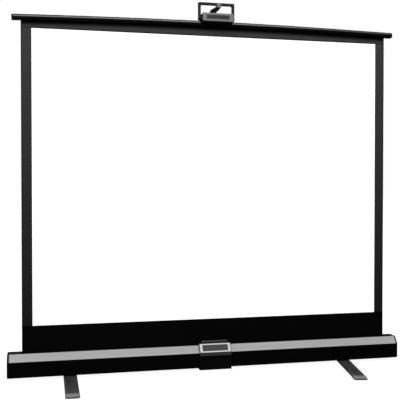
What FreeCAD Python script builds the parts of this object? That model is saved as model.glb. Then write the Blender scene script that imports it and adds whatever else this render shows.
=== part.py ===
import FreeCAD, Part
import math
import os

# Tabletop projection screen: a sheet pulled up out of a low case and held by a rear mast.
# Millimetres. X runs along the case, -Y faces the audience, Z is up, and the origin lies on
# the table midway between the foot tips.

# Projection sheet
picture_width = 996.0
picture_height = 800.0
side_border = 28.0
top_border = 27.4
drop_height = 73.0
sheet_thickness = 0.5

# Case and end caps
sheet_end_room = 39.0
case_height = 62.0
case_wall = 2.2
case_corner = 2.5
case_inner_corner = 0.5
facet_run = 15.0
facet_rise = 20.0
cap_thickness = 6.0
cap_edge_round = 3.5
slot_width = 5.0
slot_overrun = 5.0
slot_from_front = 21.5
trim_thickness = 0.8
trim_margin = 0.7
port_radius = 3.4
port_bite = 0.4
cap_screw_radius = 1.6
cap_screw_length = 14.0
cap_screw_head_radius = 3.0
cap_screw_head_height = 2.0

# Spring roller
roller_height = 30.0
roller_tube_radius = 14.0
roller_tube_wall = 1.5
wraps_left = 3
roller_end_gap = 1.5
roll_room = 4.75
roller_plug_length = 20.0
gudgeon_radius = 4.0
bush_wall = 3.0
bush_length = 8.0
hub_wall = 3.0
arbor_radius = 3.0
arbor_reach = 340.0
spring_radius = 10.0
spring_wall = 2.0
anchor_length = 12.0
anchor_bite = 4.5

# Top bar
bar_overhang = 24.0
bar_depth = 16.0
bar_height = 15.6
bar_wall = 1.8
bar_top_round = 7.6
bar_cap_thickness = 4.0
bar_cap_spigot = 10.0
bar_cap_round = 1.2
bar_slot_width = 3.0
hem_rod_radius = 2.5
hem_rod_end_gap = 3.0

# Handle box, bail and keeper
lift_line = 11.0
box_width = 88.0
box_depth = 50.0
box_straddle = 8.0
box_wall = 2.5
box_floor = 3.0
box_round = 2.0
lid_height = 5.0
lid_edge_round = 1.0
front_plate_thickness = 2.0
front_plate_lift = 3.5
front_plate_round = 0.5
box_label_width = 66.0
box_label_height = 11.0
box_label_thickness = 1.0
box_screw_radius = 2.0
box_screw_spacing = 56.0
box_screw_head_radius = 3.6
box_screw_head_height = 2.0
box_screw_tip = 1.0
bail_rise = 41.5
bail_thickness = 7.5
bail_splay = 0.3
bail_corner = 4.0
bail_edge_round = 1.0
bail_pin_radius = 3.0
bail_pin_reach = 6.0
eye_radius = 5.5
bail_side_gap = 0.8
keeper_width = 13.0
keeper_height = 12.5
keeper_thickness = 3.0
keeper_peg_radius = 1.5
keeper_peg_length = 4.0
keeper_drop = 1.0
keeper_shift = 6.65
keeper_round = 1.0

# Saddle round the middle of the case
saddle_line = 4.5
saddle_width = 91.0
saddle_wall = 5.0
saddle_floor = 5.2
saddle_band = 9.0
saddle_band_step = 1.0
saddle_lip_overhang = 3.5
saddle_back_height = 42.0
saddle_screw_spacing = 60.0
saddle_screw_radius = 2.0
saddle_screw_length = 9.0
saddle_screw_head_radius = 3.6
saddle_screw_head_height = 2.0
label_frame_thickness = 1.0
label_frame_margin = 1.5
label_panel_width = 74.0
label_panel_height = 19.0
label_panel_thickness = 0.8
catch_width = 74.0
catch_thickness = 1.2
catch_height = 5.5
catch_leg = 5.0
catch_lip = 2.0

# Telescopic mast
top_tube_radius = 7.0
mast_tube_wall = 1.5
tube_slack = 0.5
tube_overlap = 50.0
mast_floor_lift = 2.0
mast_bottom_margin = 6.0
collar_radius = 15.0
collar_grip = 24.0
collar_neck = 18.0
collar_gap = 18.0
collar_round = 1.5
hook_gap = 10.0
glide_length = 20.0
glide_skirt = 5.0
socket_wall = 6.0
socket_height = 52.0
socket_screw_radius = 3.0
knob_radius = 11.0
knob_thickness = 9.0
knob_lobes = 6
knob_lobe_depth = 2.0
knob_shank_radius = 3.0
arm_width = 17.0
arm_nose_width = 11.5
arm_thickness = 6.0
arm_bend = 18.0
arm_drop = 5.0
arm_flare_length = 26.0
pad_length = 9.7
flange_height = 5.0
flange_radius = 10.0

# Swivel feet
foot_inset = 166.0
front_reach = 218.0
rear_reach = 182.0
right_toe_in = 10.2
strip_width = 35.6
strip_thickness = 4.0
strip_lift = 2.0
toe_slope = 21.0
toe_tip_height = 3.4
toe_side = 0.3
toe_cover = 0.5
toe_grip = 5.0
toe_corner = 1.65
foot_pad_thickness = 1.2
foot_pad_length = 12.0
foot_pad_margin = 4.0
washer_thickness = 1.7
washer_radius = 15.0
pivot_bolt_radius = 4.0
pivot_head_radius = 8.0
pivot_head_height = 2.2
pivot_head_round = 1.0
pivot_plate_length = 50.0
pivot_plate_margin = 1.4
pivot_plate_thickness = 3.0
pivot_nut_radius = 7.0
pivot_nut_height = 5.0

# Clearances
face_gap = 0.3
running_gap = 0.06
hole_gap = 0.2
bail_rest_gap = 0.4
pin_clearance = 0.5
hem_rod_gap = 0.4
seat_overlap = 1.0

# How near two places or two directions count as the same
same_place = 1e-6

# Places worked out from the sizes above
case_bottom = strip_lift + strip_thickness + face_gap + washer_thickness
case_top = case_bottom + case_height
pivot_y = (front_reach - rear_reach) / 2
roll_radius = roller_tube_radius + wraps_left * sheet_thickness
roll_from_front = slot_from_front + sheet_thickness / 2 + face_gap
case_depth = roll_from_front + 2 * roll_radius + roll_room + case_wall
port_inset = port_radius - port_bite
case_front = pivot_y - case_depth / 2
case_rear = pivot_y + case_depth / 2
facet_low = case_top - facet_rise
sheet_y = case_front + slot_from_front
sheet_half = picture_width / 2 + side_border
case_half = sheet_half + sheet_end_room
extrusion_half = case_half - cap_thickness
picture_bottom = case_top + drop_height
picture_top = picture_bottom + picture_height
roller_y = case_front + roll_from_front + roll_radius
roller_z = case_bottom + roller_height
roller_half = extrusion_half - bush_length - roller_end_gap
arbor_start = extrusion_half + cap_thickness / 2
arbor_end = arbor_start - arbor_reach
bar_bottom = picture_top + top_border
bar_top = bar_bottom + bar_height
bar_half = sheet_half + bar_overhang
hem_seat = math.sqrt(hem_rod_radius ** 2 - (bar_slot_width / 2) ** 2)
hem_rod_z = bar_bottom + bar_wall + hem_seat
hem_rod_half = bar_half - bar_cap_thickness - bar_cap_spigot - hem_rod_end_gap
hem_rod_room = bar_height - 2 * bar_wall - hem_seat - hem_rod_radius - hem_rod_gap
bar_bow = hem_rod_room * (bar_half / hem_rod_half) ** 2
bar_arc_radius = (bar_half ** 2 + bar_bow ** 2) / (2 * bar_bow)
bar_arc_centre = FreeCAD.Vector(0, sheet_y, bar_top - bar_arc_radius)
sheet_top = hem_rod_z - hem_rod_radius - face_gap
box_front = sheet_y - box_depth / 2
box_rear = sheet_y + box_depth / 2
box_bottom = bar_top - box_straddle
bail_pivot_z = bar_top + box_floor + pin_clearance + bail_pin_radius
box_top = bail_pivot_z + bail_pin_radius + pin_clearance + box_wall + lid_height
bail_top = bail_pivot_z + bail_rise + bail_thickness / 2
crossbar_bottom = bail_top - bail_thickness
keeper_x = lift_line + keeper_shift
pad_top = crossbar_bottom - bail_rest_gap
arm_z = pad_top - arm_drop
saddle_bottom = case_bottom - saddle_floor
saddle_front_y = case_front - saddle_wall
saddle_back_y = case_rear + saddle_wall
mid_tube_radius = top_tube_radius + tube_slack + mast_tube_wall
base_tube_radius = mid_tube_radius + tube_slack + mast_tube_wall
mast_x = lift_line
mast_y = saddle_back_y + base_tube_radius
mast_floor = case_bottom + mast_floor_lift
mast_end = arm_z - arm_bend - flange_height - seat_overlap
collar_stack = 2 * collar_neck + collar_grip + collar_gap
mast_fixed_stack = tube_overlap + mast_bottom_margin + collar_stack + hook_gap
mast_stroke = (mast_end - mast_floor - mast_fixed_stack) / 3
base_tube_top = mast_floor + mast_stroke + tube_overlap + mast_bottom_margin
mid_tube_top = base_tube_top + collar_neck + mast_stroke + collar_gap + collar_grip
mid_tube_bottom = base_tube_top - tube_overlap
top_tube_bottom = mid_tube_top - tube_overlap


# Basic shapes

def block(x0, x1, y0, y1, z0, z1):
    """Box between two corners."""
    return Part.makeBox(x1 - x0, y1 - y0, z1 - z0, FreeCAD.Vector(x0, y0, z0))


def rod_x(x0, x1, y, z, radius):
    """Round bar along X."""
    return Part.makeCylinder(radius, x1 - x0, FreeCAD.Vector(x0, y, z), FreeCAD.Vector(1, 0, 0))


def rod_y(y0, y1, x, z, radius):
    """Round bar along Y."""
    return Part.makeCylinder(radius, y1 - y0, FreeCAD.Vector(x, y0, z), FreeCAD.Vector(0, 1, 0))


def rod_z(z0, z1, x, y, radius):
    """Round bar along Z."""
    return Part.makeCylinder(radius, z1 - z0, FreeCAD.Vector(x, y, z0), FreeCAD.Vector(0, 0, 1))


def tube_z(z0, z1, x, y, radius, bore):
    """Round tube along Z."""
    return rod_z(z0, z1, x, y, radius).cut(rod_z(z0, z1, x, y, bore))


def tube_x(x0, x1, y, z, radius, bore):
    """Round tube along X."""
    return rod_x(x0, x1, y, z, radius).cut(rod_x(x0, x1, y, z, bore))


def prism_x(outline, x0, x1):
    """Solid along X from an outline of (y, z) points."""
    points = [FreeCAD.Vector(x0, y, z) for y, z in outline]
    face = Part.Face(Part.makePolygon(points + points[:1]))
    return face.extrude(FreeCAD.Vector(x1 - x0, 0, 0))


def prism_y(outline, y0, y1):
    """Solid along Y from an outline of (x, z) points."""
    points = [FreeCAD.Vector(x, y0, z) for x, z in outline]
    face = Part.Face(Part.makePolygon(points + points[:1]))
    return face.extrude(FreeCAD.Vector(0, y1 - y0, 0))


def prism_z(outline, z0, z1):
    """Solid along Z from an outline of (x, y) points."""
    points = [FreeCAD.Vector(x, y, z0) for x, y in outline]
    face = Part.Face(Part.makePolygon(points + points[:1]))
    return face.extrude(FreeCAD.Vector(0, 0, z1 - z0))


def grown(outline, distance):
    """Convex outline, listed anticlockwise, with every side moved outwards by a distance."""
    moved = []
    count = len(outline)
    for i in range(count):
        before, here, after = outline[i - 1], outline[i], outline[(i + 1) % count]
        first = math.atan2(here[1] - before[1], here[0] - before[0])
        second = math.atan2(after[1] - here[1], after[0] - here[0])
        half_turn = (second - first) % (2 * math.pi) / 2
        reach = distance / math.cos(half_turn)
        heading = first + half_turn - math.pi / 2
        moved.append((here[0] + reach * math.cos(heading), here[1] + reach * math.sin(heading)))
    return moved


def edges_along(shape, axis, chosen):
    """Straight edges along an axis whose middle passes a test."""
    found = []
    for edge in shape.Edges:
        if not isinstance(edge.Curve, Part.Line):
            continue
        run = edge.Vertexes[1].Point - edge.Vertexes[0].Point
        if run.normalize().cross(axis).Length < same_place and chosen(edge.CenterOfMass):
            found.append(edge)
    return found


def edges_in_plane(shape, axis, level):
    """Edges that lie in the plane square to an axis at a level."""
    found = []
    for edge in shape.Edges:
        ends = [vertex.Point.dot(axis) for vertex in edge.Vertexes]
        if all(abs(end - level) < same_place for end in ends):
            found.append(edge)
    return found


along_x = FreeCAD.Vector(1, 0, 0)
along_y = FreeCAD.Vector(0, 1, 0)
along_z = FreeCAD.Vector(0, 0, 1)


def save(name, *solids):
    """Write one sub-part, made of one or more separate solids."""
    shape = solids[0] if len(solids) == 1 else Part.makeCompound(list(solids))
    shape.exportStep("parts/" + name + ".step")


# Case

def case_outline():
    """Section of the case: flat base, upright walls and a sloping facet on each side of the top."""
    return [
        (case_front, case_bottom),
        (case_rear, case_bottom),
        (case_rear, facet_low),
        (case_rear - facet_run, case_top),
        (case_front + facet_run, case_top),
        (case_front, facet_low),
    ]


def case_bar(x0, x1, inset=0.0):
    """Length of the case section, its base corners rounded."""
    bar = prism_x(grown(case_outline(), -inset), x0, x1)
    level = case_bottom + inset
    low_edges = edges_along(bar, along_x, lambda middle: abs(middle.z - level) < same_place)
    return bar.makeFillet(max(case_corner - inset, case_inner_corner), low_edges)


def facet_direction():
    """Unit steps (dy, dz) up the front facet and out of it."""
    slope = math.hypot(facet_run, facet_rise)
    up = (facet_run / slope, facet_rise / slope)
    out = (-up[1], up[0])
    return up, out


def facet_plate(x0, x1, low, high, lift, thickness):
    """Plate that lies along the front facet, between two distances up it, lifted off it."""
    up, out = facet_direction()

    def at(distance, height):
        y = case_front + up[0] * distance + out[0] * height
        z = facet_low + up[1] * distance + out[1] * height
        return (y, z)

    corners = [at(low, lift), at(low, lift + thickness), at(high, lift + thickness), at(high, lift)]
    return prism_x(corners, x0, x1)


def trim_bands():
    """Left and right spans of the facet trim, either side of the saddle."""
    inner = saddle_width / 2
    return [(-extrusion_half, saddle_line - inner), (saddle_line + inner, extrusion_half)]


def trim_plates():
    facet_width = math.hypot(facet_run, facet_rise)
    low = trim_margin
    high = facet_width - trim_margin
    return [facet_plate(x0, x1, low, high, -trim_thickness, trim_thickness) for x0, x1 in trim_bands()]


def port_places():
    """Screw ports inside the case walls, as (y, z)."""
    reach = case_wall + port_inset
    return [
        (case_front + reach, case_bottom + reach),
        (case_rear - reach, case_bottom + reach),
        (case_front + reach, facet_low - port_inset),
    ]


def case_extrusion():
    shell = case_bar(-extrusion_half, extrusion_half)
    shell = shell.cut(case_bar(-extrusion_half, extrusion_half, case_wall))
    for y, z in port_places():
        port = rod_x(-extrusion_half, extrusion_half, y, z, port_radius)
        shell = shell.fuse(port.common(case_bar(-extrusion_half, extrusion_half)))
    for y, z in port_places():
        shell = shell.cut(rod_x(-extrusion_half, extrusion_half, y, z, cap_screw_radius))
    slot_half = sheet_half + slot_overrun
    slot_side = slot_width / 2
    shell = shell.cut(block(-slot_half, slot_half, sheet_y - slot_side, sheet_y + slot_side,
                            case_top - 2 * case_wall, case_top + case_wall))
    for plate in trim_plates():
        shell = shell.cut(plate)
    for x in foot_places():
        shell = shell.cut(rod_z(case_bottom - case_wall, case_bottom + 2 * case_wall, x, pivot_y,
                                pivot_bolt_radius + hole_gap))
    for x, y in saddle_screw_places():
        shell = shell.cut(rod_z(case_bottom - case_wall, case_bottom + 2 * case_wall, x, y,
                                saddle_screw_radius))
    return shell.removeSplitter()


def end_cap(side):
    """Cap on one end: side is -1 for the left and 1 for the right."""
    inner = side * extrusion_half
    outer = side * case_half
    cap = case_bar(min(inner, outer), max(inner, outer))
    cap = cap.makeFillet(cap_edge_round, edges_in_plane(cap, along_x, outer))
    hub_bore = gudgeon_radius + running_gap + bush_wall if side < 0 else arbor_radius
    hub_reach = side * bush_length
    hub = rod_x(min(inner, inner - hub_reach), max(inner, inner - hub_reach), roller_y, roller_z,
                hub_bore + hub_wall)
    cap = cap.fuse(hub)
    bore_end = arbor_start if side > 0 else inner
    cap = cap.cut(rod_x(min(bore_end, inner - hub_reach), max(bore_end, inner - hub_reach),
                        roller_y, roller_z, hub_bore))
    head_seat = outer - side * cap_screw_head_height
    for y, z in port_places():
        cap = cap.cut(rod_x(min(inner, outer), max(inner, outer), y, z, cap_screw_radius + hole_gap))
        cap = cap.cut(rod_x(min(head_seat, outer), max(head_seat, outer), y, z,
                            cap_screw_head_radius + hole_gap))
    return cap


def cap_screw(side, y, z):
    """Pan screw along X through a cap into its port."""
    outer = side * case_half
    seat = outer - side * cap_screw_head_height
    tip = seat - side * cap_screw_length
    head = rod_x(min(seat, outer), max(seat, outer), y, z, cap_screw_head_radius)
    return head.fuse(rod_x(min(seat, tip), max(seat, tip), y, z, cap_screw_radius))


# Roller

def roller_tube():
    return tube_x(-roller_half, roller_half, roller_y, roller_z, roller_tube_radius,
                  roller_tube_radius - roller_tube_wall)


def fabric_roll():
    return tube_x(-sheet_half, sheet_half, roller_y, roller_z, roll_radius, roller_tube_radius)


def roller_plug_left():
    """Plug with a gudgeon that turns in the left bush."""
    plug = rod_x(-roller_half, -roller_half + roller_plug_length, roller_y, roller_z,
                 roller_tube_radius - roller_tube_wall)
    return plug.fuse(rod_x(-extrusion_half + face_gap, -roller_half, roller_y, roller_z, gudgeon_radius))


def roller_bush():
    return tube_x(-extrusion_half, -extrusion_half + bush_length, roller_y, roller_z,
                  gudgeon_radius + running_gap + bush_wall, gudgeon_radius + running_gap)


def roller_plug_right():
    """Plug that turns on the fixed arbor."""
    return tube_x(roller_half - roller_plug_length, roller_half, roller_y, roller_z,
                  roller_tube_radius - roller_tube_wall, arbor_radius + running_gap)


def spring_arbor():
    """Fixed rod from the right cap, with the disc that holds the spring's far end."""
    rod = rod_x(arbor_end, arbor_start, roller_y, roller_z, arbor_radius)
    disc = rod_x(arbor_end, arbor_end + anchor_length, roller_y, roller_z,
                 spring_radius - spring_wall - running_gap)
    return rod.fuse(disc)


def roller_spring():
    """Close-wound torsion spring from the arbor's disc to the plug, as the sleeve of its turns."""
    start = arbor_end + anchor_length - anchor_bite
    end = roller_half - roller_plug_length
    return tube_x(start, end, roller_y, roller_z, spring_radius, spring_radius - spring_wall)


# Sheet

def sheet_panel(x0, x1, z0, z1):
    return block(x0, x1, sheet_y - sheet_thickness / 2, sheet_y + sheet_thickness / 2, z0, z1)


def sheet_border():
    """Black margin on both sides and along the top of the picture."""
    frame = sheet_panel(-sheet_half, sheet_half, picture_bottom, sheet_top)
    return frame.cut(sheet_panel(-picture_width / 2, picture_width / 2, picture_bottom, picture_top))


# Top bar

def bar_section(x0, x1, inset=0.0):
    """Straight length of the bar at its crown: upright sides under a rounded top."""
    half = bar_depth / 2 - inset
    bar = block(x0, x1, sheet_y - half, sheet_y + half, bar_bottom + inset, bar_top - inset)
    top_edges = edges_along(bar, along_x, lambda middle: middle.z > sheet_top + hem_rod_radius)
    return bar.makeFillet(bar_top_round - inset, top_edges)


def bar_angle(x):
    """Angle along the bar's bow from its crown to a distance from the middle, in degrees."""
    return math.degrees(math.asin(x / bar_arc_radius))


def bow_place(x):
    """Point on the bow's top line at a distance from the middle."""
    turn = math.radians(bar_angle(x))
    return bar_arc_centre + FreeCAD.Vector(math.sin(turn), 0, math.cos(turn)) * bar_arc_radius


def along_bow(straight, start, end):
    """Sweep of a straight length's face at X = 0 along the bow, between two distances."""
    face = [face for face in straight.Faces if abs(face.CenterOfMass.x) < same_place][0]
    face.rotate(bar_arc_centre, along_y, bar_angle(start))
    line = Part.BSplineCurve()
    line.interpolate([bow_place(start), bow_place((start + end) / 2), bow_place(end)])
    sweep = Part.BRepOffsetAPI.MakePipeShell(Part.Wire(line.toShape()))
    sweep.setFrenetMode(True)
    sweep.add(face.OuterWire)
    sweep.build()
    sweep.makeSolid()
    return sweep.shape()


def top_bar_tube():
    """Hollow bar, bowed up in the middle, with a slot for the sheet along its underside."""
    half = bar_half - bar_cap_thickness - running_gap
    side = bar_slot_width / 2
    slot = block(0, bar_slot_width, sheet_y - side, sheet_y + side, bar_bottom - bar_wall,
                 bar_bottom + 2 * bar_wall)
    tube = along_bow(bar_section(0, bar_height), -half, half)
    tube = tube.cut(along_bow(bar_section(0, bar_height, bar_wall), -half, half))
    tube = tube.cut(along_bow(slot, -half, half))
    for x, y in bar_screw_places():
        tube = tube.cut(rod_z(bar_top - 2 * bar_wall, bar_top + bar_wall, x, y, box_screw_radius))
    return tube


def top_bar_cap(side):
    """Cap turned to the end of the bow, with a spigot inside the bar."""
    seat = side * (bar_half - bar_cap_thickness)
    outer = side * bar_cap_thickness
    cap = bar_section(min(0, outer), max(0, outer))
    cap = cap.makeFillet(bar_cap_round, edges_in_plane(cap, along_x, outer))
    cap.rotate(bar_arc_centre, along_y, bar_angle(seat))
    inside = bar_section(0, bar_height, bar_wall + running_gap)
    spigot = along_bow(inside, seat - side * bar_cap_spigot, seat)
    return cap.fuse(spigot)


# Handle box

def bar_screw_places():
    """Screws that hold the handle box down on the bar, as (x, y)."""
    return [(lift_line - box_screw_spacing / 2, sheet_y), (lift_line + box_screw_spacing / 2, sheet_y)]


def handle_base():
    """Open tray that straddles the bar and carries the bail's pivots."""
    half = box_width / 2
    split = box_top - lid_height
    back_of_plate = box_front + front_plate_thickness
    tray = block(lift_line - half, lift_line + half, back_of_plate, box_rear, box_bottom, split)
    tray = tray.makeFillet(box_round, edges_along(tray, along_z, lambda middle: middle.y > sheet_y))
    notch = bar_depth / 2 + hole_gap
    tray = tray.cut(block(lift_line - half, lift_line + half, sheet_y - notch, sheet_y + notch,
                          box_bottom, bar_top))
    tray = tray.cut(block(lift_line - half + box_wall, lift_line + half - box_wall,
                          back_of_plate + box_wall, box_rear - box_wall, bar_top + box_floor, box_top))
    tray = tray.cut(rod_x(lift_line - box_width, lift_line + box_width, sheet_y, bail_pivot_z,
                          bail_pin_radius + running_gap))
    for x, y in bar_screw_places():
        tray = tray.cut(rod_z(bar_top - box_floor, bar_top + 2 * box_floor, x, y,
                              box_screw_radius + hole_gap))
    return tray


def handle_lid():
    """Lid of the handle box, with a rim that drops inside the tray."""
    half = box_width / 2
    split = box_top - lid_height
    back_of_plate = box_front + front_plate_thickness
    lid = block(lift_line - half, lift_line + half, back_of_plate, box_rear, split, box_top)
    lid = lid.makeFillet(box_round, edges_along(lid, along_z, lambda middle: middle.y > sheet_y))
    top_edges = edges_in_plane(lid, along_z, box_top)
    rear_edges = [edge for edge in top_edges if edge.CenterOfMass.y > back_of_plate + box_round]
    lid = lid.makeFillet(lid_edge_round, rear_edges)
    rim = box_wall + hole_gap
    lid = lid.fuse(block(lift_line - half + rim, lift_line + half - rim, back_of_plate + rim,
                         box_rear - rim, split - box_wall, split))
    inner = rim + box_wall
    return lid.cut(block(lift_line - half + inner, lift_line + half - inner, back_of_plate + inner,
                         box_rear - inner, split - 2 * box_wall, box_top - box_wall))


def label_pocket(depth):
    """Bare panel space in the middle of the front plate."""
    half = box_label_width / 2
    middle = (box_bottom + front_plate_lift + box_top) / 2
    rear = box_front + depth
    return block(lift_line - half, lift_line + half, rear - box_label_thickness, rear,
                 middle - box_label_height / 2, middle + box_label_height / 2)


def handle_front_plate():
    half = box_width / 2
    plate = block(lift_line - half, lift_line + half, box_front, box_front + front_plate_thickness,
                  box_bottom + front_plate_lift, box_top)
    plate = plate.makeFillet(front_plate_round, edges_in_plane(plate, along_y, box_front))
    plate = plate.cut(label_pocket(box_label_thickness))
    return plate.cut(label_pocket(front_plate_thickness - box_label_thickness / 2))


def handle_label_panel():
    return label_pocket(front_plate_thickness - box_label_thickness / 2)


def bar_screw(x, y):
    """Pan screw down through the tray floor into the bar."""
    seat = bar_top + box_floor
    head = rod_z(seat, seat + box_screw_head_height, x, y, box_screw_head_radius)
    return head.fuse(rod_z(bar_top - bar_wall - box_screw_tip, seat, x, y, box_screw_radius))


# Bail

def bail():
    """Square-section loop whose arms splay out a little towards the crossbar."""
    eye_inner = box_width / 2 + bail_side_gap
    eye_outer = eye_inner + bail_thickness
    outer = eye_outer + bail_splay
    inner = eye_inner + bail_splay
    loop = prism_y([
        (lift_line - eye_outer, bail_pivot_z),
        (lift_line - eye_inner, bail_pivot_z),
        (lift_line - inner, crossbar_bottom),
        (lift_line + inner, crossbar_bottom),
        (lift_line + eye_inner, bail_pivot_z),
        (lift_line + eye_outer, bail_pivot_z),
        (lift_line + outer, bail_top),
        (lift_line - outer, bail_top),
    ], sheet_y - bail_thickness / 2, sheet_y + bail_thickness / 2)
    corners = edges_along(loop, along_y, lambda middle: middle.z > bail_pivot_z + eye_radius)
    loop = loop.makeFillet(bail_corner, corners)
    rim = []
    for level in (sheet_y - bail_thickness / 2, sheet_y + bail_thickness / 2):
        rim += edges_in_plane(loop, along_y, level)
    above_pins = [edge for edge in rim if edge.CenterOfMass.z > bail_pivot_z + bail_edge_round]
    loop = loop.makeFillet(bail_edge_round, above_pins)
    for side in (-1, 1):
        near = lift_line + side * eye_inner
        far = lift_line + side * eye_outer
        loop = loop.fuse(rod_x(min(near, far), max(near, far), sheet_y, bail_pivot_z, eye_radius))
        loop = loop.cut(rod_x(min(near, far), max(near, far), sheet_y, bail_pivot_z, bail_pin_radius))
    return loop.cut(keeper_peg()).removeSplitter()


def bail_pin(side):
    """Pivot pin pressed in the bail's eye and turning in the tray wall."""
    outer = lift_line + side * (box_width / 2 + bail_side_gap + bail_thickness)
    inner = lift_line + side * (box_width / 2 - bail_pin_reach)
    return rod_x(min(inner, outer), max(inner, outer), sheet_y, bail_pivot_z, bail_pin_radius)


def keeper_peg():
    """Peg that holds the keeper in the crossbar."""
    front_of_bar = sheet_y - bail_thickness / 2
    return rod_y(front_of_bar, front_of_bar + keeper_peg_length, keeper_x, bail_top - bail_thickness / 2,
                 keeper_peg_radius)


def bail_keeper():
    """Tab on the front of the crossbar that drops past the nose of the hook."""
    half = keeper_width / 2
    front_of_bar = sheet_y - bail_thickness / 2
    top = bail_top - keeper_drop
    face = front_of_bar - keeper_thickness
    tab = block(keeper_x - half, keeper_x + half, face, front_of_bar, top - keeper_height, top)
    tab = tab.makeFillet(keeper_round, edges_in_plane(tab, along_y, face))
    return tab.fuse(keeper_peg())


# Saddle

def saddle_screw_places():
    """Screws up through the saddle into the case floor, as (x, y)."""
    half = saddle_screw_spacing / 2
    quarter = case_depth / 4
    columns = (saddle_line - half, saddle_line + half)
    return [(x, y) for x in columns for y in (pivot_y - quarter, pivot_y + quarter)]


def saddle_slope():
    """Ends of the saddle's label slope, as (y, z): where it leaves the front and reaches the top."""
    up, out = facet_direction()
    rate = up[1] / up[0]
    y_on_slope = case_front + out[0] * saddle_wall
    z_on_slope = facet_low + out[1] * saddle_wall
    low = (saddle_front_y, z_on_slope + (saddle_front_y - y_on_slope) * rate)
    top_z = case_top + saddle_wall
    high = (y_on_slope + (top_z - z_on_slope) / rate, top_z)
    return low, high


def saddle_front():
    """Front half: top land, label slope, band and skirt."""
    low, high = saddle_slope()
    half = saddle_width / 2
    land_end = case_front + facet_run + saddle_lip_overhang - slot_width / 2
    skirt = saddle_front_y + saddle_band_step
    outline = [
        (land_end, case_top),
        (land_end, case_top + saddle_wall),
        high,
        low,
        (saddle_front_y, low[1] - saddle_band),
        (skirt, low[1] - saddle_band - saddle_band_step),
        (skirt, saddle_bottom),
        (pivot_y, saddle_bottom),
        (pivot_y, case_bottom),
        (case_front + case_corner, case_bottom),
        (case_front, case_bottom + case_corner),
        (case_front, facet_low),
        (case_front + facet_run, case_top),
    ]
    body = prism_x(outline, saddle_line - half, saddle_line + half)
    body = body.makeFillet(case_corner, edges_along(
        body, along_x, lambda m: abs(m.y - skirt) < same_place and abs(m.z - saddle_bottom) < same_place))
    body = body.cut(case_bar(saddle_line - half, saddle_line + half))
    for x, y in saddle_screw_places():
        if y < pivot_y:
            body = body.cut(saddle_screw_hole(x, y))
    return body.cut(label_seat()).removeSplitter()


def saddle_screw_hole(x, y):
    through = rod_z(saddle_bottom, case_bottom, x, y, saddle_screw_radius + hole_gap)
    seat = rod_z(saddle_bottom, saddle_bottom + saddle_screw_head_height, x, y,
                 saddle_screw_head_radius + hole_gap)
    return through.fuse(seat)


def saddle_screw(x, y):
    head = rod_z(saddle_bottom, saddle_bottom + saddle_screw_head_height, x, y, saddle_screw_head_radius)
    shank = rod_z(saddle_bottom, saddle_bottom + saddle_screw_length, x, y, saddle_screw_radius)
    return head.fuse(shank)


def saddle_rear():
    """Rear half: floor, back wall and the socket that carries the mast."""
    half = saddle_width / 2
    body = prism_x([
        (pivot_y, saddle_bottom),
        (saddle_back_y, saddle_bottom),
        (saddle_back_y, case_bottom + saddle_back_height),
        (case_rear, case_bottom + saddle_back_height),
        (case_rear, case_bottom + case_corner),
        (case_rear - case_corner, case_bottom),
        (pivot_y, case_bottom),
    ], saddle_line - half, saddle_line + half)
    outer = base_tube_radius + socket_wall
    socket = block(mast_x - outer, mast_x + outer, saddle_back_y - saddle_wall / 2, mast_y, saddle_bottom,
                   saddle_bottom + socket_height)
    socket = socket.fuse(rod_z(saddle_bottom, saddle_bottom + socket_height, mast_x, mast_y, outer))
    body = body.fuse(socket).cut(case_bar(saddle_line - half, saddle_line + half))
    body = body.cut(rod_z(mast_floor, base_tube_top, mast_x, mast_y, base_tube_radius))
    screw_z = saddle_bottom + socket_height / 2
    body = body.cut(rod_y(mast_y, mast_y + outer + socket_wall, mast_x, screw_z, socket_screw_radius))
    for x, y in saddle_screw_places():
        if y > pivot_y:
            body = body.cut(saddle_screw_hole(x, y))
    return body.removeSplitter()


def slope_plate(half_width, low, high, lift, thickness):
    """Plate on the saddle's label slope, between two distances up it."""
    start, end = saddle_slope()
    length = math.hypot(end[0] - start[0], end[1] - start[1])
    up = ((end[0] - start[0]) / length, (end[1] - start[1]) / length)
    out = (-up[1], up[0])

    def at(distance, height):
        y = start[0] + up[0] * distance + out[0] * height
        z = start[1] + up[1] * distance + out[1] * height
        return (y, z)

    corners = [at(low, lift), at(low, lift + thickness), at(high, lift + thickness), at(high, lift)]
    return prism_x(corners, saddle_line - half_width, saddle_line + half_width)


def slope_length():
    start, end = saddle_slope()
    return math.hypot(end[0] - start[0], end[1] - start[1])


def label_seat():
    """Shallow seat that lets the label frame lie flush in the slope."""
    return slope_plate(saddle_width / 2 - label_frame_margin, label_frame_margin,
                       slope_length() - label_frame_margin, -label_frame_thickness, label_frame_thickness)


def label_window():
    """Window of the frame, as distances up the slope."""
    low = (slope_length() - label_panel_height) / 2
    return low, low + label_panel_height


def saddle_label_frame():
    low, high = label_window()
    return label_seat().cut(slope_plate(label_panel_width / 2, low, high, -label_frame_thickness,
                                        label_frame_thickness))


def saddle_label_panel():
    low, high = label_window()
    return slope_plate(label_panel_width / 2, low, high, -label_frame_thickness, label_panel_thickness)


def bar_catch():
    """Bent spring strip on the saddle's top land, with a lip that holds the bar when it is down."""
    base = case_top + saddle_wall
    land_end = case_front + facet_run + saddle_lip_overhang - slot_width / 2
    back = land_end
    front = back - catch_thickness
    top = base + catch_height
    return prism_x([
        (back - catch_leg, base),
        (back, base),
        (back, top),
        (back - catch_lip, top + catch_thickness),
        (back - catch_lip, top),
        (front, top - catch_thickness),
        (front, base + catch_thickness),
        (back - catch_leg, base + catch_thickness),
    ], saddle_line - catch_width / 2, saddle_line + catch_width / 2)


# Mast

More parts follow.
